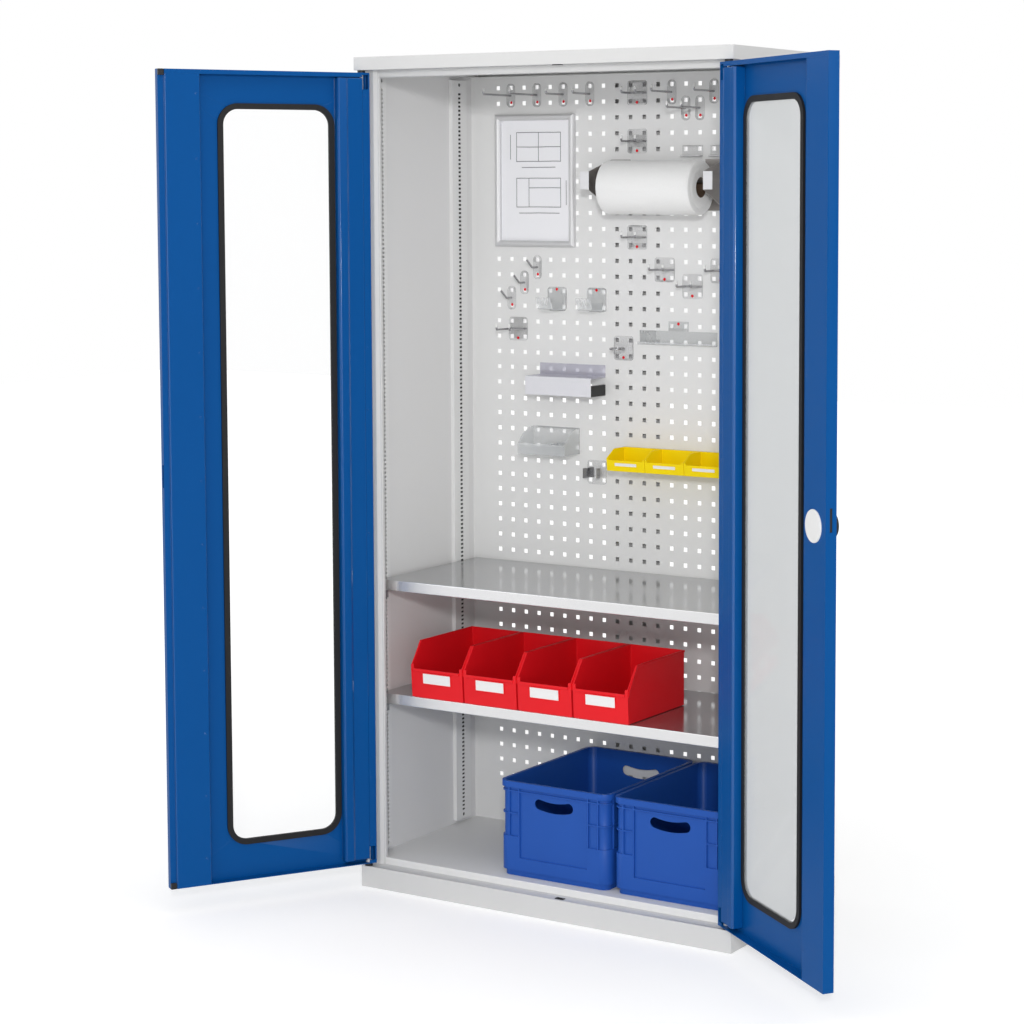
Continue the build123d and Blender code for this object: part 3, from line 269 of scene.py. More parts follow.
def bends(finish, open_angle):
    """Mask on the faces that lie square to no side of a door open at this angle."""
    normal = finish.node("ShaderNodeTexCoord", take="Normal")
    sockets = {"Vector": normal, "Angle": open_angle}
    turned = finish.node("ShaderNodeVectorRotate", {"rotation_type": "Z_AXIS"}, sockets)
    x, y, z = finish.node("ShaderNodeSeparateXYZ", None, {"Vector": turned}, None)
    square = abs(x).math("MAXIMUM", abs(y)).math("MAXIMUM", abs(z))
    return ((square_limit - square) * bend_gain).clamp()


print("bends start", round(math.degrees(math.acos(square_limit)), 1), "degrees off square")

# %% Powder coat for carcass and doors
darkening_height = 0.09


def powder_coat(name, colour, roughness=0.42, gloss=0.30, inside_painted_light=None, open_angle=None):
    """Paint with orange peel, uneven gloss and low edges darker in patches; inside, painted light
    and painted shade.
    """
    finish = Finish(name, Specular_IOR_Level=gloss, Coat_Roughness=0.16)
    if open_angle is not None:
        finish.set("Coat Weight", bends(finish, open_angle))
    # The paint gets darker in patches in its lowest few centimetres.
    low_darkening = (darkening_height - finish.axes()[2]).clamp() * finish.noise(30.0) * 2.0
    shade = finish.mix(finish.noise(2.4, 2.0), shaded(colour, 0.965), shaded(colour, 1.03))
    shade = finish.mix(low_darkening.clamp(), shade, shaded(colour, 0.86))
    if inside_painted_light:
        # Painted light: the inside faces of the walls take a lighter colour than the outside.
        shade = finish.mix(wall_inside_painted_light(finish), shade, inside_painted_light)
        # Painted shade: the walls go dark in the hollow of the rear rails.
        shade = finish.mix(rail_hollow_painted_shade(finish), shade, shaded(colour, 0.10))
    finish.set("Base Color", shade)
    finish.set("Roughness", finish.noise(14.0) * 0.10 + (roughness - 0.05))
    finish.bump(finish.noise(620.0, 2.0), 0.10, 0.0004)
    return finish.material


# The panel grey and the walls' inside grey are lighter than the outer grey: painted light.
grey, panel_grey_painted_light, wall_grey_painted_light = (0.665, 0.665, 0.66), (0.79, 0.79, 0.785), (0.76, 0.757, 0.755)
door_blue = (0.0012, 0.078, 0.290)
open_angles = {"left": 122.0, "right": 144.0}
carcass_paint = powder_coat("carcass_paint", grey)
wall_paint_painted_light_and_shade = powder_coat("wall_paint_painted_light_and_shade", grey, inside_painted_light=wall_grey_painted_light)
panel_paint_painted_light = powder_coat("panel_paint_painted_light", panel_grey_painted_light)
door_paints = {}
for side, way in (("left", 1), ("right", -1)):
    angle = way * math.radians(open_angles[side])
    door_paints[side] = powder_coat(side + "_door_paint", door_blue, 0.34, 0.10, open_angle=angle)
print("paints", carcass_paint.name, wall_paint_painted_light_and_shade.name, panel_paint_painted_light.name, list(door_paints))

# %% [markdown]
# ## Zinc and bright metal
#
# The shelves are zinc plated. Zinc freezes in flat crystals, so a Voronoi
# texture gives each crystal its own gloss. Long soft streaks run from back to
# front, a noise stretched along Y: they vary the gloss as rolling does, and
# their lighter colour is partly painted reflection. The folded lip at the front
# of a shelf is a little duller than its top and is coloured much lighter, a
# painted light. The hinge pins, the rail of the yellow bins and the document
# frame are metal with fine scratches.

# %% Metals
shelf_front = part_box("shelf_upper")[0].y
lip_depth = 0.0012


def zinc_sheet():
    """Zinc plated sheet: crystals, streaks that are partly painted reflection, and a front lip in
    painted light.
    """
    finish = Finish("zinc_sheet", Metallic=0.80, Specular_IOR_Level=0.5)
    crystals = finish.node("ShaderNodeSeparateColor", None, {"Color": finish.cells(85.0, "Color")})
    # Lighter streaks from back to front: partly rolling marks, partly painted reflection.
    rolling_streaks_and_painted_reflection = finish.noise(26.0, 3.0, (1.0, 0.06, 0.06))
    lip = finish.axes()[1] < (shelf_front + lip_depth)
    top = finish.mix(crystals, (0.42, 0.425, 0.435), (0.44, 0.445, 0.455))
    shade = finish.mix(rolling_streaks_and_painted_reflection * 0.5, top, (0.50, 0.50, 0.51))
    # Painted light on the lip: a much lighter colour than the top of the same sheet.
    finish.set("Base Color", finish.mix(lip, shade, (0.88, 0.88, 0.885)))
    finish.set("Roughness", crystals * 0.008 + rolling_streaks_and_painted_reflection * 0.05 + lip * 0.10 + 0.11)
    finish.bump(finish.noise(900.0, 2.0), 0.03, 0.0001)
    return finish.material


def bright_metal(name, colour, roughness, metallic=1.0):
    """Plated or anodised metal with fine scratches."""
    finish = Finish(name, Metallic=metallic)
    scratch = finish.noise(260.0, 4.0, (1.0, 0.15, 1.0))
    finish.set("Base Color", finish.mix(scratch, shaded(colour, 0.93), colour))
    finish.set("Roughness", scratch * 0.08 + roughness)
    finish.bump(scratch, 0.05, 0.0002)
    return finish.material


zinc = zinc_sheet()
pin_steel = bright_metal("pin_steel", (0.86, 0.86, 0.87), 0.38, 0.35)
satin_silver = bright_metal("satin_silver", (0.84, 0.84, 0.86), 0.34)
frame_silver = bright_metal("frame_silver", (0.74, 0.74, 0.75), 0.42, 0.55)
print("metals", zinc.name, pin_steel.name, satin_silver.name, frame_silver.name)

# %% [markdown]
# ## Plastics, rubber and panes
#
# Moulded plastic has a dull grain from the etched mould and a sheen on top.
# The clear parts are thin, so they are made see-through with Alpha and not
# with refraction: light then falls through the windows as it does in reality,
# and Layer Weight makes them more solid where they are seen at a low angle.

# %% Plastics
def moulded(name, colour, roughness=0.36, grain=0.10, gloss=0.25):
    """Moulded plastic with mould grain and slightly uneven colour."""
    finish = Finish(name, Specular_IOR_Level=gloss)
    slow = finish.noise(9.0, 2.0)
    finish.set("Base Color", finish.mix(slow, shaded(colour, 0.94), shaded(colour, 1.04)))
    finish.set("Roughness", finish.noise(40.0) * 0.12 + (roughness - 0.06))
    finish.bump(finish.noise(1100.0, 2.0), grain, 0.0003)
    return finish.material


red_plastic = moulded("red_plastic", (0.80, 0.009, 0.016))
blue_plastic = moulded("blue_plastic", (0.014, 0.086, 0.400), 0.40)
yellow_plastic = moulded("yellow_plastic", (0.98, 0.74, 0.003), gloss=0.15)
white_plastic = moulded("white_plastic", (0.84, 0.84, 0.83), 0.30)
black_plastic = moulded("black_plastic", (0.022, 0.022, 0.024), 0.40)
black_rubber = moulded("black_rubber", (0.014, 0.014, 0.015), 0.58, 0.18)
print("plastics", red_plastic.name, blue_plastic.name, yellow_plastic.name, black_rubber.name)

# %% Clear plastics
def see_through(name, colour, solid, edge, blend, roughness):
    """Thin clear plastic: more solid at low angles, with faint rubbing marks."""
    finish = Finish(name, Specular_IOR_Level=0.6)
    marks = finish.noise(60.0, 4.0, (1.0, 1.0, 0.3))
    finish.set("Base Color", finish.mix(marks, shaded(colour, 0.97), colour))
    finish.set("Alpha", (finish.facing(blend) * edge + marks * 0.004 + solid).clamp())
    finish.set("Roughness", marks * 0.05 + roughness)
    return finish.material


clear_pane = see_through(
    "clear_pane", (0.88, 0.91, 0.92), solid=0.0, edge=0.46, blend=0.6, roughness=0.03)
clear_plastic = see_through(
    "clear_plastic", (0.80, 0.82, 0.83), solid=0.26, edge=0.45, blend=0.35, roughness=0.22)
print("clear", clear_pane.name, clear_plastic.name)

# %% [markdown]
# ## Clear hooks with wire arms
#
# A hook is one node in CAD: a clear plate on the panel and a plated wire that
# stands out from it. Two finishes on one node are told apart by depth. The
# plate lies in the last two millimetres before the panel, so one comparison on
# Y is the mask between clear plastic and wire.

# %% The two-part hook finish
panel_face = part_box("perforated_panel")[0].y
plate_depth = 0.0021


def hook_finish():
    """Clear plate near the panel, bright wire in front of it."""
    finish = Finish("hook_finish", Specular_IOR_Level=0.5)
    wire = finish.axes()[1] < (panel_face - plate_depth)
    scratch = finish.noise(260.0, 3.0)
    plate_colour = finish.mix(scratch, (0.66, 0.66, 0.68), (0.76, 0.76, 0.78))
    wire_colour = finish.mix(scratch, (0.36, 0.36, 0.37), (0.50, 0.50, 0.51))
    finish.set("Base Color", finish.mix(wire, plate_colour, wire_colour))
    finish.set("Metallic", wire)
    finish.set("Alpha", (wire + finish.facing(0.4) * 0.65 + 0.05).clamp())
    finish.set("Roughness", scratch * 0.06 + wire * 0.02 + 0.16)
    return finish.material


hook_material = hook_finish()
print("panel face at", round(panel_face, 4))

# %% [markdown]
# ## The roll holder
#
# Each bracket is dark steel sheet and ends in a white block towards the room.
# The blocks are the front of the node, so depth tells them apart here too.

# %% The holder's finish
holder_low, holder_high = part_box("roll_holder")
block_depth = 0.0016


def holder_finish():
    """Dark steel brackets with white blocks at their front ends."""
    finish = Finish("holder_finish", Specular_IOR_Level=0.4)
    blocks = finish.axes()[1] < (holder_low.y + block_depth)
    scratch = finish.noise(240.0, 4.0, (1.0, 0.3, 1.0))
    steel = finish.mix(scratch, (0.30, 0.28, 0.27), (0.38, 0.36, 0.345))
    finish.set("Base Color", finish.mix(blocks, steel, (0.80, 0.80, 0.82)))
    finish.set("Metallic", (1 - blocks) * 0.85)
    finish.set("Roughness", scratch * 0.10 + 0.28)
    finish.bump(scratch, 0.05, 0.0001)
    return finish.material


holder_material = holder_finish()
print("holder reaches", round(holder_high.y - holder_low.y, 3))

# %% [markdown]
# ## The small tray
#
# The tray on the panel has three finishes in one node: a light front, a clear
# top with a low rim behind it, and two dark end blocks. They are told apart by
# depth and height in the same way as the hooks, and each mask mixes two colours.

# %% The tray's finish
tray_low, tray_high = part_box("marker_tray")
front_depth, block_height = 0.0017, 0.030


def tray_finish():
    """Light front, clear lilac top and dark end blocks."""
    finish = Finish("tray_finish", Specular_IOR_Level=0.3)
    _, y, z = finish.axes()
    back = y > (tray_low.y + front_depth)
    low_part = z < (tray_low.z + block_height)
    blocks = back * low_part
    top = back * (1 - low_part)
    grain = finish.noise(300.0, 3.0)
    front_colour = finish.mix(grain, (0.74, 0.74, 0.78), (0.78, 0.78, 0.82))
    shade = finish.mix(top, front_colour, (0.66, 0.65, 0.76))
    finish.set("Base Color", finish.mix(blocks, shade, (0.02, 0.02, 0.022)))
    finish.set("Alpha", 1 - top * 0.45)
    finish.set("Roughness", grain * 0.1 + 0.3)
    finish.bump(grain, 0.05, 0.0001)
    return finish.material


tray_material = tray_finish()
print("tray between", round(tray_low.z, 3), "and", round(tray_high.z, 3))

# %% [markdown]
# ## Paper
#
# Three papers: the soft embossed sheet of the roll, plain label card, and the
# sheet in the frame. Kitchen roll is embossed with small cells, a Voronoi bump.

# %% Roll paper and label card
def soft_paper():
    """Embossed absorbent paper."""
    finish = Finish("soft_paper", Roughness=0.92, Sheen_Weight=0.25)
    fibre = finish.noise(420.0, 4.0)
    finish.set("Base Color", finish.mix(fibre, (0.87, 0.87, 0.86), (0.93, 0.93, 0.925)))
    finish.bump(finish.cells(210.0, "Distance") * 0.8 + fibre * 0.3, 0.35, 0.0006)
    return finish.material


def card(name, colour):
    """Smooth card with a little fibre."""
    finish = Finish(name)
    fibre = finish.noise(500.0, 4.0)
    finish.set("Base Color", finish.mix(fibre, shaded(colour, 0.94), colour))
    finish.set("Roughness", fibre * 0.2 + 0.6)
    finish.bump(fibre, 0.12, 0.0001)
    return finish.material


roll_paper = soft_paper()
label_card = card("label_card", (0.87, 0.87, 0.86))
core_card = card("core_card", (0.11, 0.07, 0.045))
print("papers", roll_paper.name, label_card.name, core_card.name)

# %% [markdown]
# The framed sheet carries a plain drawn plan: two grids with their measuring
# lines. Its strokes are thin bars in X and Z, and a slow noise added to the
# coordinates makes them waver as if they were drawn by hand.

# %% The drawn plan on the framed sheet
strokes = [  # left, right, bottom and top, as shares of the sheet
    (0.22, 0.22, 0.66, 0.90), (0.86, 0.86, 0.66, 0.90), (0.22, 0.86, 0.90, 0.90),
    (0.22, 0.86, 0.66, 0.66), (0.54, 0.54, 0.66, 0.90), (0.22, 0.86, 0.78, 0.78),
    (0.22, 0.22, 0.28, 0.52), (0.86, 0.86, 0.28, 0.52), (0.22, 0.86, 0.52, 0.52),
    (0.22, 0.86, 0.28, 0.28), (0.40, 0.40, 0.28, 0.52), (0.40, 0.86, 0.44, 0.44),
    (0.30, 0.78, 0.61, 0.61), (0.26, 0.84, 0.23, 0.23), (0.13, 0.13, 0.68, 0.88),
    (0.94, 0.94, 0.30, 0.50),
]
line_half, flatter = 0.0042, 0.7


def drawn_plan(low, high):
    """Paper with a drawn plan; low and high are the sheet's corners."""
    finish = Finish("drawn_plan", Roughness=0.7)
    x, _, z = finish.axes()
    sway = finish.noise(22.0, 2.0) * 0.006 - 0.003
    across = (x - low.x) / (high.x - low.x) + sway
    up = (z - low.z) / (high.z - low.z) + sway

    def bar(left, right, bottom, top):
        """Mask on one stroke."""
        wide = abs(across - (left + right) / 2) < ((right - left) / 2 + line_half)
        tall = abs(up - (bottom + top) / 2) < ((top - bottom) / 2 + line_half * flatter)
        return wide * tall

    ink = sum(bar(*stroke) for stroke in strokes).clamp()
    grain = finish.noise(700.0, 3.0)
    shade = finish.mix(grain, (0.88, 0.88, 0.91), (0.93, 0.93, 0.96))
    finish.set("Base Color", finish.mix(ink * 0.9, shade, (0.07, 0.07, 0.08)))
    finish.bump(grain, 0.08, 0.0001)
    return finish.material


plan_paper = drawn_plan(*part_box("document_sheet"))
print("strokes in the plan", len(strokes))

# %% [markdown]
# ## Finishes on the CAD nodes
#
# The CAD nodes already have the right shapes, so they only get a finish. The
# table below says which one each node takes. A loose word such as `red_bin`
# stands for every node whose name starts so.

# %% Give every node its finish
left_paint, right_paint = door_paints["left"], door_paints["right"]
finishes = {
    "side_": wall_paint_painted_light_and_shade, "top_cap": carcass_paint, "plinth_frame": carcass_paint,
    "header_rail": carcass_paint, "panel_stiffener": carcass_paint, "floor_tray": panel_paint_painted_light,
    "perforated_panel": panel_paint_painted_light, "rails_": panel_paint_painted_light,
    "shelf_upper": zinc, "shelf_lower": zinc, "shelf_clips": zinc,
    "hinge_bushes": black_plastic, "rod_keeps": black_plastic,
    "door_left_pan": left_paint, "door_right_pan": right_paint,
    "door_left_hinge_profile": left_paint, "door_right_hinge_profile": right_paint,
    "door_left_lock_profile": left_paint, "door_right_lock_profile": right_paint,
    "door_left_pane": clear_pane, "door_right_pane": clear_pane,
    "door_left_gasket": black_rubber, "door_right_gasket": black_rubber,
    "door_left_hinge_pins": pin_steel, "door_right_hinge_pins": pin_steel,
    "door_left_strip_caps": black_plastic, "lock_case": zinc, "lock_cover": white_plastic,
    "lock_knob": black_plastic, "lock_rod_upper": zinc, "lock_rod_lower": zinc,
    "lock_rod_guides": zinc, "latch_bolt": black_plastic,
    "red_bin": red_plastic, "blue_box": blue_plastic, "yellow_bin": yellow_plastic,
    "bin_rail": satin_silver, "straight_hooks": hook_material, "angled_hooks": hook_material,
    "double_hooks": hook_material, "small_brackets": hook_material, "ring_hook": hook_material,
    "spring_clip": hook_material, "clamp_holders": clear_plastic, "tool_rail": clear_plastic,
    "bit_rack": clear_plastic, "document_frame": frame_silver, "document_sheet": plan_paper,
    "roll_holder": holder_material, "paper_roll": roll_paper, "marker_tray": tray_material,
}


def finish_of(name):
    """The finish whose key is the longest start of a node's name."""
    keys = [key for key in finishes if name.startswith(key)]
    return finishes[max(keys, key=len)]


for name, thing in nodes.items():
    thing.data.materials.clear()
    thing.data.materials.append(finish_of(name))
print("finished nodes", len(nodes))

# %% [markdown]
# ## Softer edges
#
# Moulded bins and painted sheet have edges with a small radius, which catch a
# thin line of light. The CAD mesh is made of loose triangles, so a Weld
# modifier joins them first and a Bevel modifier then rounds only the edges
# that really turn a corner. Modifiers leave the frame's own mesh untouched.

# %% Weld and bevel the nodes that need it
join_distance, corner_angle = 0.00002, math.radians(40)
edge_widths = {
    "red_bin": 0.0009, "blue_box": 0.0012, "yellow_bin": 0.0006,
    "top_cap": 0.0007, "plinth_frame": 0.0007, "header_rail": 0.0005,
    "marker_tray": 0.0004, "document_frame": 0.0005, "roll_holder": 0.0004, "bit_rack": 0.0003,
    "door_left_strip_caps": 0.0008, "door_left_pan": 0.0022, "door_right_pan": 0.0022,
    "door_left_hinge_profile": 0.0016, "door_right_hinge_profile": 0.0016,
}


def soften(thing, width):
    """Round the real edges of a node by this width."""
    weld = thing.modifiers.new("join", "WELD")
    weld.merge_threshold = join_distance
    edge = thing.modifiers.new("edges", "BEVEL")
    edge.width, edge.segments = width, 2
    edge.limit_method, edge.angle_limit = "ANGLE", corner_angle
    edge.use_clamp_overlap = True


for name, thing in nodes.items():
    for key, width in edge_widths.items():
        if name.startswith(key):
            soften(thing, width)
print("softened", sum(1 for thing in nodes.values() if thing.modifiers))

# %% [markdown]
# ## Helpers for new pieces
#
# New pieces are small: cards, caps, marks. Each is built in one bmesh, so a
# whole family of weld marks is one object. `piece` turns a finished bmesh into
# an object, points its faces outwards, and lets it ride on a body, so that a
# bin's label follows the bin when it is pulled out.

# %% Piece helper
def piece(name, form, material, body, angle=35):
    """Make a finished object of a bmesh and let it ride on a body."""
    bmesh.ops.remove_doubles(form, verts=form.verts, dist=0.000005)
    bmesh.ops.recalc_face_normals(form, faces=form.faces)
    mesh = bpy.data.meshes.new(name)
    form.to_mesh(mesh)
    form.free()
    mesh.materials.append(material)
    mesh.polygons.foreach_set("use_smooth", [True] * len(mesh.polygons))
    mesh.set_sharp_from_angle(angle=math.radians(angle))
    made = bpy.data.objects.new(name, mesh)
    bpy.context.scene.collection.objects.link(made)
    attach(made, body)
    return made


def bevelled(form, edges, width, segments=2):
    """Round some edges of a bmesh."""
    bmesh.ops.bevel(
        form, geom=edges, offset=width, offset_type="OFFSET", affect="EDGES",
        segments=segments, profile=0.5, material=-1, clamp_overlap=True)


def added(form, start):
    """The vertices that a bmesh has got since start."""
    return [vertex for vertex in form.verts if vertex not in start]


def edges_of(verts):
    """All edges at these vertices."""
    return {edge for vertex in verts for edge in vertex.link_edges}


print("piece helpers ready")

# %% [markdown]
# ## Labels on the bins
#
# Each red bin has a slot for a label on its low front, and the yellow bins
# carry a narrow strip. A ray sent from the front finds the leaning wall, so
# the card lies on it at the wall's own angle. The cards stay blank.

# %% A plate, and a ray that finds a wall
def slab(form, centre, size, turn=Matrix(), corner=0.0, edge=0.0002):
    """Add a plate: round corners seen from the front, softly broken edges."""
    start = set(form.verts)
    made = bmesh.ops.create_cube(form, size=1.0)["verts"]
    bmesh.ops.scale(form, vec=size, verts=made)
    if corner:
        along_y = [e for e in edges_of(made)
                   if abs((e.verts[0].co - e.verts[1].co).normalized().y) > 0.9]
        bevelled(form, along_y, corner, 4)
        made = added(form, start)
    rim = [e for e in edges_of(made) if len(e.link_faces) == 2 and e.calc_face_angle(0) > 0.9]
    bevelled(form, rim, edge, 1)
    move = Matrix.Translation(centre) @ turn.to_4x4()
    bmesh.ops.transform(form, matrix=move, verts=added(form, start))


def hit(name, start, direction):
    """Where a ray first meets a node, and the outward normal there."""
    mesh = nodes[name].data
    tree = BVHTree.FromPolygons(
        [vertex.co for vertex in mesh.vertices], [face.vertices for face in mesh.polygons])
    place, normal, _, _ = tree.ray_cast(Vector(start), Vector(direction))
    if normal.dot(Vector(direction)) > 0:
        normal.negate()
    return place, normal


print("plate and ray ready")

# %% Label cards on both kinds of bin
def label(node, name, up, width, height, depth, lip):
    """Card on the front wall of a bin, in a holder with a lip on each side."""
    low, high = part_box(node)
    middle = (low.x + high.x) / 2
    place, normal = hit(node, (middle, low.y - 0.1, low.z + up), (0, 1, 0))
    turn = Vector((0, -1, 0)).rotation_difference(normal).to_matrix()
    form = bmesh.new()
    slab(form, place + normal * depth / 2, (width, depth, height), turn, 0.0012, 0.0001)
    piece(name + "_card", form, label_card, node)

    form = bmesh.new()
    thickness, middle_line = lip * 0.7, place + normal * lip * 0.35
    for way in (-1, 1):
        offset = turn @ Vector((0, 0, way * (height + lip) / 2))
        slab(form, middle_line + offset, (width + lip * 2, thickness, lip), turn)
    for way in (-1, 1):
        offset = turn @ Vector((way * (width + lip) / 2, 0, 0))
        slab(form, middle_line + offset, (lip, thickness, height), turn)
    piece(name + "_holder", form, finish_of(node), node)
    return place


for index in range(1, 5):
    spot = label(
        f"red_bin_{index}", f"red_label_{index}",
        up=0.048, width=0.078, height=0.024, depth=0.0005, lip=0.0022)
print("red labels, last at", [round(v, 3) for v in spot])
for index in range(1, 4):
    spot = label(
        f"yellow_bin_{index}", f"yellow_label_{index}",
        up=0.0165, width=0.060, height=0.0075, depth=0.0004, lip=0.0012)
print("yellow labels, last at", [round(v, 3) for v in spot])

# %% [markdown]
# ## Rims on the sloping sides
#
# The red bins' side walls end in a rolled edge all the way round. The level
# part is in the CAD solid already. The sloping part is a flat band that goes
# down the slope and a little further at the front, one polygon for each side,
# extruded sideways by the thickness of the rim.

# %% Rolled edges down the slopes
rim_outline = [(41, 130), (7, 77), (4.2, 64), (9.1, 63), (11.7, 75.1), (43.7, 125)]  # y, z in mm
rim_thickness = 0.002


def slope_rims(index):
    """Bands down both sloping sides of one red bin."""
    low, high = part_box(f"red_bin_{index}")
    form = bmesh.new()
    for x in (low.x, high.x - rim_thickness):
        corners = [
            form.verts.new((x, low.y + y / 1000, low.z + z / 1000)) for y, z in rim_outline]
        face = form.faces.new(corners)
        grown = bmesh.ops.extrude_face_region(form, geom=[face])["geom"]
        moved = [part for part in grown if isinstance(part, bmesh.types.BMVert)]
        bmesh.ops.translate(form, vec=(rim_thickness, 0, 0), verts=moved)
    sharp = [e for e in form.edges if len(e.link_faces) == 2 and e.calc_face_angle(0) > 1.2]
    bevelled(form, sharp, 0.0004)
    return piece(f"red_rim_{index}", form, red_plastic, f"red_bin_{index}")


rims = [slope_rims(index) for index in range(1, 5)]
print("rims", [len(made.data.polygons) for made in rims])

# %% [markdown]
# ## Weld marks on the doors
#
# The stiffeners are spot welded into the door pans. Each weld leaves a shallow
# round mark under the paint. They are drawn on the closed left door, where
# depth is simply Y, and then swung open round the hinge pin like the door
# itself, so the same lines serve both doors. The right door is the mirror
# image, which turns faces inside out; `piece` points them outwards again.

# %% Swing a drawing out with its door
front_y = -0.25
door_edge_x = 0.4995
hinge_x, hinge_y = 0.4845, front_y + 0.009


def on_door(along, behind, up):
    """A point of the closed left door: from its hinge edge, behind its skin, height."""
    return Vector((-door_edge_x + along, front_y + behind, up))


def swing(form, side):
    """Turn what was drawn on the closed left door to where a door stands."""
    pin = Vector((-hinge_x, hinge_y, 0))
    opened = Matrix.Rotation(-math.radians(open_angles[side]), 4, "Z")
    turn = Matrix.Translation(pin) @ opened @ Matrix.Translation(-pin)
    if side == "right":
        turn = Matrix.Scale(-1, 4, Vector((1, 0, 0))) @ turn
    bmesh.ops.transform(form, matrix=turn, verts=form.verts)
    return form


print("hinge pins at", round(hinge_x, 4), round(hinge_y, 4))

# %% Weld marks
mark_rows = ((0.4125, 0.0028, 0.0004), (0.012, 0.0022, 0.0003))  # along, radius, height
first_mark, mark_step, mark_count = 0.12, 0.145, 13
inner_face = 0.024


def dome(form, centre, radius, height, axis=Vector((0, -1, 0)), segments=14):
    """Add a low round head that stands out along an axis."""
    start = set(form.verts)
    bmesh.ops.create_cone(
        form, cap_ends=True, segments=segments, radius1=radius, radius2=radius * 0.72,
        depth=height)
    top = [e for e in edges_of(added(form, start))
           if min(e.verts[0].co.z, e.verts[1].co.z) > height * 0.4]
    bevelled(form, top, min(height * 0.45, radius * 0.2))
    turn = Vector((0, 0, 1)).rotation_difference(axis).to_matrix().to_4x4()
    move = Matrix.Translation(centre + axis * (height / 2)) @ turn
    bmesh.ops.transform(form, matrix=move, verts=added(form, start))


def weld_marks(side):
    """Rows of low marks along the two stiffeners of a door."""
    form = bmesh.new()
    for index in range(mark_count):
        for along, radius, height in mark_rows:
            place = on_door(along, inner_face, first_mark + index * mark_step)
            dome(form, place, radius, height, Vector((0, 1, 0)), 10)
    paint, body = door_paints[side], f"door_{side}"
    return piece(f"door_{side}_weld_marks", swing(form, side), paint, body)


marks = [weld_marks(side) for side in ("left", "right")]
print("weld marks", [len(made.data.polygons) for made in marks])

# %% [markdown]
# ## The lock cover and the knob
#
# Inside the right door a flat white cover with a raised ring hides the lock.
# Outside sits a low round knob. From the front only a dark bow of its rim
# shows past the door's edge. Ring and knob are each one profile, spun round
# the spindle, and a slim finger grip lies across the knob.

# %% Ring on the lock cover
spindle_along, spindle_up = 0.447, 0.987
cover_face = 0.0265


def lathe(form, points, centre, axis, steps, closed=False):
    """Spin a line of points, or a closed loop of them, once round an axis."""
    made = [form.verts.new(point) for point in points]
    line = made + made[:1] if closed else made
    edges = [form.edges.new(pair) for pair in zip(line, line[1:])]
    bmesh.ops.spin(
        form, geom=made + edges, cent=centre, axis=axis, angle=math.tau, steps=steps,
        use_merge=True)


def cover_ring():
    """Raised ring round the white cover, inside the right door."""
    centre = on_door(spindle_along, cover_face, spindle_up)
    profile = [(0.0245, 0.0), (0.0250, 0.0006), (0.0262, 0.0006), (0.0267, 0.0)]
    form = bmesh.new()
    points = [centre + Vector((radius, rise, 0)) for radius, rise in profile]
    lathe(form, points, centre, (0, 1, 0), 48)
    ring = swing(form, "right")
    return piece("lock_cover_ring", ring, white_plastic, "door_right")


print("ring", len(cover_ring().data.polygons), "faces")

# %% Turn the knob on its spindle
knob_profile = [  # radius, and rise from the door's skin
    (0.0, 0.0004), (0.0130, 0.0004), (0.0130, 0.0068), (0.0190, 0.0078), (0.0255, 0.0084),
    (0.0270, 0.0098), (0.0275, 0.0135), (0.0270, 0.0170), (0.0252, 0.0190), (0.0215, 0.0200),
    (0.0120, 0.0205), (0.0, 0.0206)]
grip_size, grip_rise = (0.0105, 0.0042, 0.036), 0.0218


def turning_knob():
    """Round knob with soft rim, thin neck and a finger grip."""
    centre = on_door(spindle_along, 0.0, spindle_up)
    form = bmesh.new()
    points = [centre + Vector((radius, -rise, 0)) for radius, rise in knob_profile]
    lathe(form, points, centre, (0, 1, 0), 64)
    slab(form, centre - Vector((0, grip_rise, 0)), grip_size, corner=0.0045, edge=0.0007)
    shape = swing(form, "right")
    return piece("turning_knob", shape, black_plastic, "knob", 50)


knob = turning_knob()
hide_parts("lock_knob")
print("knob", len(knob.data.polygons), "faces")

# %% [markdown]
# ## The paper roll
#
# A roll of kitchen paper is not a cylinder with sharp ends: the winding leaves
# soft shoulders, the turns stand unevenly at the ends and the last turn ends
# in a free edge. One closed profile spun round the bar gives the body, with
# end rings that stand a few tenths of a millimetre in or out. A slight wave
# keeps it from being perfectly round. The card core inside is its own piece.

# %% Wind the roll
roll_low, roll_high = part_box("paper_roll")
roll_middle = (roll_low + roll_high) / 2
roll_radius = (roll_high.z - roll_low.z) / 2
core_radius = 0.0235


def spun(form, profile, steps):
    """Spin (x, radius) points round the roll's axis into a closed ring."""
    points = [(x, roll_middle.y, roll_middle.z + radius) for x, radius in profile]
    lathe(form, points, roll_middle, (1, 0, 0), steps, closed=True)


def roll_profile():
    """Half section of the wound paper: left end, shoulders, slight hollow, right end."""
    left, right = roll_low.x + 0.001, roll_high.x - 0.001
    outer, shoulder = roll_radius - 0.0012, 0.012
    shares = (0, 0.12, 0.25, 0.38, 0.5, 0.62, 0.75, 0.88)
    turns = [core_radius + (outer - core_radius) * share for share in shares]
    steps_left = [0.0010, 0.0002, 0.0012, 0.0004, 0.0014, 0.0003, 0.0011, 0.0006]
    steps_right = [0.0016, 0.0004, 0.0019, 0.0006, 0.0003, 0.0021, 0.0007, 0.0014]
    profile = [(left + step, radius) for radius, step in zip(turns, steps_left)]
    profile += [(left + 0.0016, outer - 0.0016), (left + 0.005, outer - 0.0003)]
    straight = right - left - 2 * shoulder
    for index in range(10):
        share = index / 9
        hollow = 0.0006 * math.sin(share * math.pi)
        profile.append((left + shoulder + straight * share, outer - hollow))
    profile += [(right - 0.005, outer - 0.0004), (right - 0.0022, outer - 0.0018)]
    ends = reversed(list(zip(turns, steps_right)))
    return profile + [(right - step, radius) for radius, step in ends]


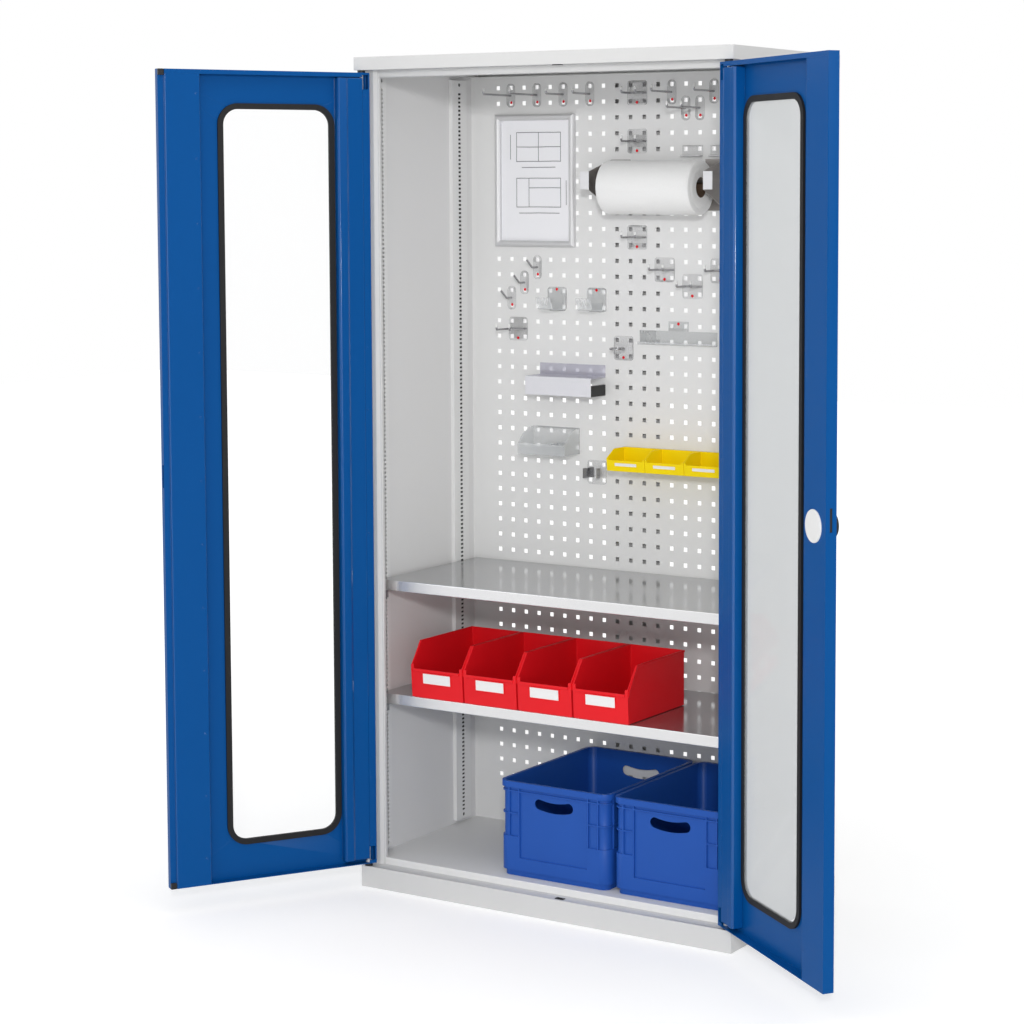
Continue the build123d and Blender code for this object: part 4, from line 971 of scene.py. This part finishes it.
def wound_roll():
    """Body of the roll, not quite round between its ends."""
    form = bmesh.new()
    spun(form, roll_profile(), 96)
    for vertex in form.verts:
        offset = vertex.co - roll_middle
        if abs(offset.x) < 0.11:
            turn = math.atan2(offset.y, offset.z)
            vertex.co.z += 0.0004 * math.sin(turn * 3 + offset.x * 30)
    return piece("wound_roll", form, roll_paper, "roll")


roll_body = wound_roll()
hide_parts("paper_roll")
print("roll", len(roll_body.data.polygons), "faces")

# %% Core and free edge of the roll
core_wall = 0.0015
outside, inside = core_radius - core_wall * 0.1, core_radius - core_wall
left, right = roll_low.x + 0.0025, roll_high.x - 0.003
form = bmesh.new()
spun(form, [(left, inside), (left, outside), (right, outside), (right, inside)], 64)
piece("roll_core", form, core_card, "roll")

edge_radius, edge_turn, sheet_turn = roll_radius - 0.0009, 0.5, 1.2
back = edge_radius * math.sin(edge_turn)
rise = edge_radius * math.cos(edge_turn)
form = bmesh.new()
sheet_edge = [form.verts.new((x, roll_middle.y - back, roll_middle.z + rise))
              for x in (roll_low.x + 0.004, roll_high.x - 0.006)]
bmesh.ops.spin(
    form, geom=sheet_edge + [form.edges.new(sheet_edge)], cent=roll_middle, axis=(1, 0, 0),
    angle=sheet_turn, steps=16, use_merge=False)
bmesh.ops.solidify(form, geom=form.faces, thickness=0.0006)
free_sheet = piece("roll_free_sheet", form, roll_paper, "roll")
print("core and free sheet made,", len(free_sheet.data.polygons), "faces in the sheet")

# %% [markdown]
# ## Marks and tips of the hooks
#
# The clear hook plates carry one plain red spot each, and the wires end in
# small light caps. Both are tiny and there are many, so each kind is one
# object made of low round heads. Their places follow the panel's hole grid:
# 38 mm apart, counted from the top left hole.

# %% Red spots on the plates
pitch = 0.038
first_x, first_z = -11 * pitch, 1.893


def grid(column, row):
    """Place of a panel hole on the panel's face."""
    return Vector((first_x + column * pitch, panel_face, first_z - row * pitch))


single_hooks = [
    (1, 0), (3, 0), (5, 0), (7, 0), (13, 0), (16, 0), (14, 1), (15, 1), (3, 11), (2, 12), (1, 13)]
double_plates = [(10, 0), (10, 3), (10, 9), (12, 11), (14, 12), (16, 11), (1, 15), (9, 16)]
clamp_plates = [(4, 13), (7, 13)]
spot_radius, spot_height = 0.0036, 0.0006
spots = [grid(column, row + 0.5) + Vector((0.002, -plate_depth, -0.017))
         for column, row in single_hooks]
spots += [grid(column + 0.5, row + 0.5) + Vector((0.0, -plate_depth, -0.0225))
          for column, row in double_plates]
spots += [grid(column + 0.5, row + 0.5) + Vector((0.0, -plate_depth, 0.0235))
          for column, row in clamp_plates]
spots.append(hit("tool_rail", (0.095, 0.0, 1.3285), (0, 1, 0))[0])
form = bmesh.new()
for spot in spots:
    dome(form, spot, spot_radius, spot_height)
piece("hook_marks", form, red_plastic, "cabinet")
print("red spots", len(spots))

# %% Light caps on the hook tips
cap_radius, cap_length, tip_rise = 0.0031, 0.008, 0.0105
wire_root = panel_face - 0.001
reaches = dict(zip(single_hooks, (118, 118, 76, 76, 94, 94, 88, 88)))  # in mm, straight hooks


def tip(form, place):
    """Cap over the end of an upturned wire."""
    start = set(form.verts)
    bmesh.ops.create_cone(
        form, cap_ends=True, segments=14, radius1=cap_radius, radius2=cap_radius * 0.94,
        depth=cap_length)
    top = [e for e in edges_of(added(form, start))
           if min(e.verts[0].co.z, e.verts[1].co.z) > 0]
    bevelled(form, top, cap_radius * 0.55, 3)
    bmesh.ops.translate(form, vec=place, verts=added(form, start))


tips = [(grid(column, row + 0.5), reach / 1000) for (column, row), reach in reaches.items()]
for column, row in double_plates[:-1]:
    reach = 0.068 if (column, row) == (1, 15) else 0.042
    tips += [(grid(column + step, row + 0.5), reach) for step in (0, 1)]
form = bmesh.new()
for spot, reach in tips:
    tip(form, Vector((spot.x, wire_root - reach, spot.z + tip_rise)))
piece("hook_caps", form, white_plastic, "cabinet")
print("hook caps", len(tips))

# %% [markdown]
# ## Camera
#
# The photograph was taken from the right, a little below the lid, with a long
# lens. Its place and lens come from the known sizes of the cabinet: the lid's
# corners, the plinth, the door edges and the grid of holes all have to fall
# where the photograph shows them. A small lens shift keeps the uprights
# nearly parallel, as is usual for tall objects.

# %% Set the camera
view_from = Vector((2.9912, -4.7658, 1.6563))
yaw, pitch_angle, roll_angle = 31.1828, -4.7824, 0.0269
lens = bpy.data.cameras.new("camera")
lens.sensor_width, lens.lens = 36.0, 85.795
lens.shift_x, lens.shift_y = -0.12, -0.12
lens.clip_start, lens.clip_end = 0.1, 60.0
camera = bpy.data.objects.new("camera", lens)
bpy.context.scene.collection.objects.link(camera)
turn = (
    Matrix.Rotation(math.radians(yaw), 4, "Z")
    @ Matrix.Rotation(math.radians(90 + pitch_angle), 4, "X")
    @ Matrix.Rotation(math.radians(-roll_angle), 4, "Z"))
camera.matrix_world = Matrix.Translation(view_from) @ turn
bpy.context.scene.camera = camera
print("camera at", tuple(round(v, 3) for v in view_from))

# %% [markdown]
# ## Floor and light
#
# A product photograph on white needs a floor that keeps a soft shadow and
# melts into the background. The floor is pale and adds a little of its own
# light for camera rays only, more of it away from the cabinet, so it reaches
# white where nothing shades it. The world is white to the camera, to
# reflections and through clear parts, and dimmer as a light source. A small
# key lamp and three large soft ones do the rest, at a level where a colour
# renders about as it is written.

# %% Floor
form = bmesh.new()
bmesh.ops.create_grid(form, x_segments=8, y_segments=8, size=12.0)
floor_mesh = bpy.data.meshes.new("floor")
form.to_mesh(floor_mesh)
form.free()
floor = bpy.data.objects.new("floor", floor_mesh)
bpy.context.scene.collection.objects.link(floor)
ground = Finish("pale_floor", Roughness=0.85, Specular_IOR_Level=0.1, Emission_Strength=1.0)
ground.set("Base Color", ground.mix(ground.noise(3.0), (0.86, 0.86, 0.86), (0.90, 0.90, 0.90)))
x, y, _ = ground.axes()
far = ((x * x + y * y) * 0.09).clamp()
glow = ground.mix(far, (0.28, 0.28, 0.28), (0.58, 0.58, 0.58))
seen = ground.node("ShaderNodeLightPath", take="Is Camera Ray")
ground.set("Emission Color", ground.mix(seen, (0.0, 0.0, 0.0), glow))
floor_mesh.materials.append(ground.material)
print("floor of", len(floor_mesh.polygons), "faces")

# %% World
world = bpy.data.worlds.new("studio")
bpy.context.scene.world = world
world.use_nodes = True
studio = Net(world.node_tree)
seen, mirrored, through = [
    studio.node("ShaderNodeLightPath", take=f"Is {kind} Ray")
    for kind in ("Camera", "Glossy", "Transmission")]
bright = seen.math("MAXIMUM", mirrored).math("MAXIMUM", through)
levels = {"Value": bright, "To Min": 0.66, "To Max": 1.0}
strength = studio.node("ShaderNodeMapRange", None, levels)
sockets = {"Color": (1.0, 1.0, 1.0, 1.0), "Strength": strength}
background = studio.node("ShaderNodeBackground", None, sockets)
studio.node("ShaderNodeOutputWorld", None, {"Surface": background}, None)
print("world lights at", levels["To Min"], "and looks", levels["To Max"])

# %% Lamps
def lamp(name, place, target, size, power):
    """Soft rectangular lamp aimed at a point."""
    light = bpy.data.lights.new(name, "AREA")
    light.shape, light.energy = "RECTANGLE", power
    light.size, light.size_y = size
    made = bpy.data.objects.new(name, light)
    made.location = place
    aim = Vector(target) - Vector(place)
    made.rotation_euler = aim.to_track_quat("-Z", "Y").to_euler()
    bpy.context.scene.collection.objects.link(made)
    return made


lamps = [
    lamp("key_lamp", (3.7, -5.9, 2.75), (0.0, 0.0, 1.0), (0.5, 0.5), 142.0),
    lamp("front_lamp", (3.8, -6.0, 1.2), (0.0, 0.0, 0.9), (3.4, 2.4), 48.0),
    lamp("left_lamp", (-3.6, -3.2, 1.6), (0.0, -0.1, 0.9), (2.0, 2.6), 22.0),
    lamp("top_lamp", (0.3, -0.4, 4.4), (0.0, 0.0, 0.0), (3.0, 2.4), 26.0),
]
bpy.context.scene.view_settings.view_transform = "Standard"
print("lamps", [made.name for made in lamps])
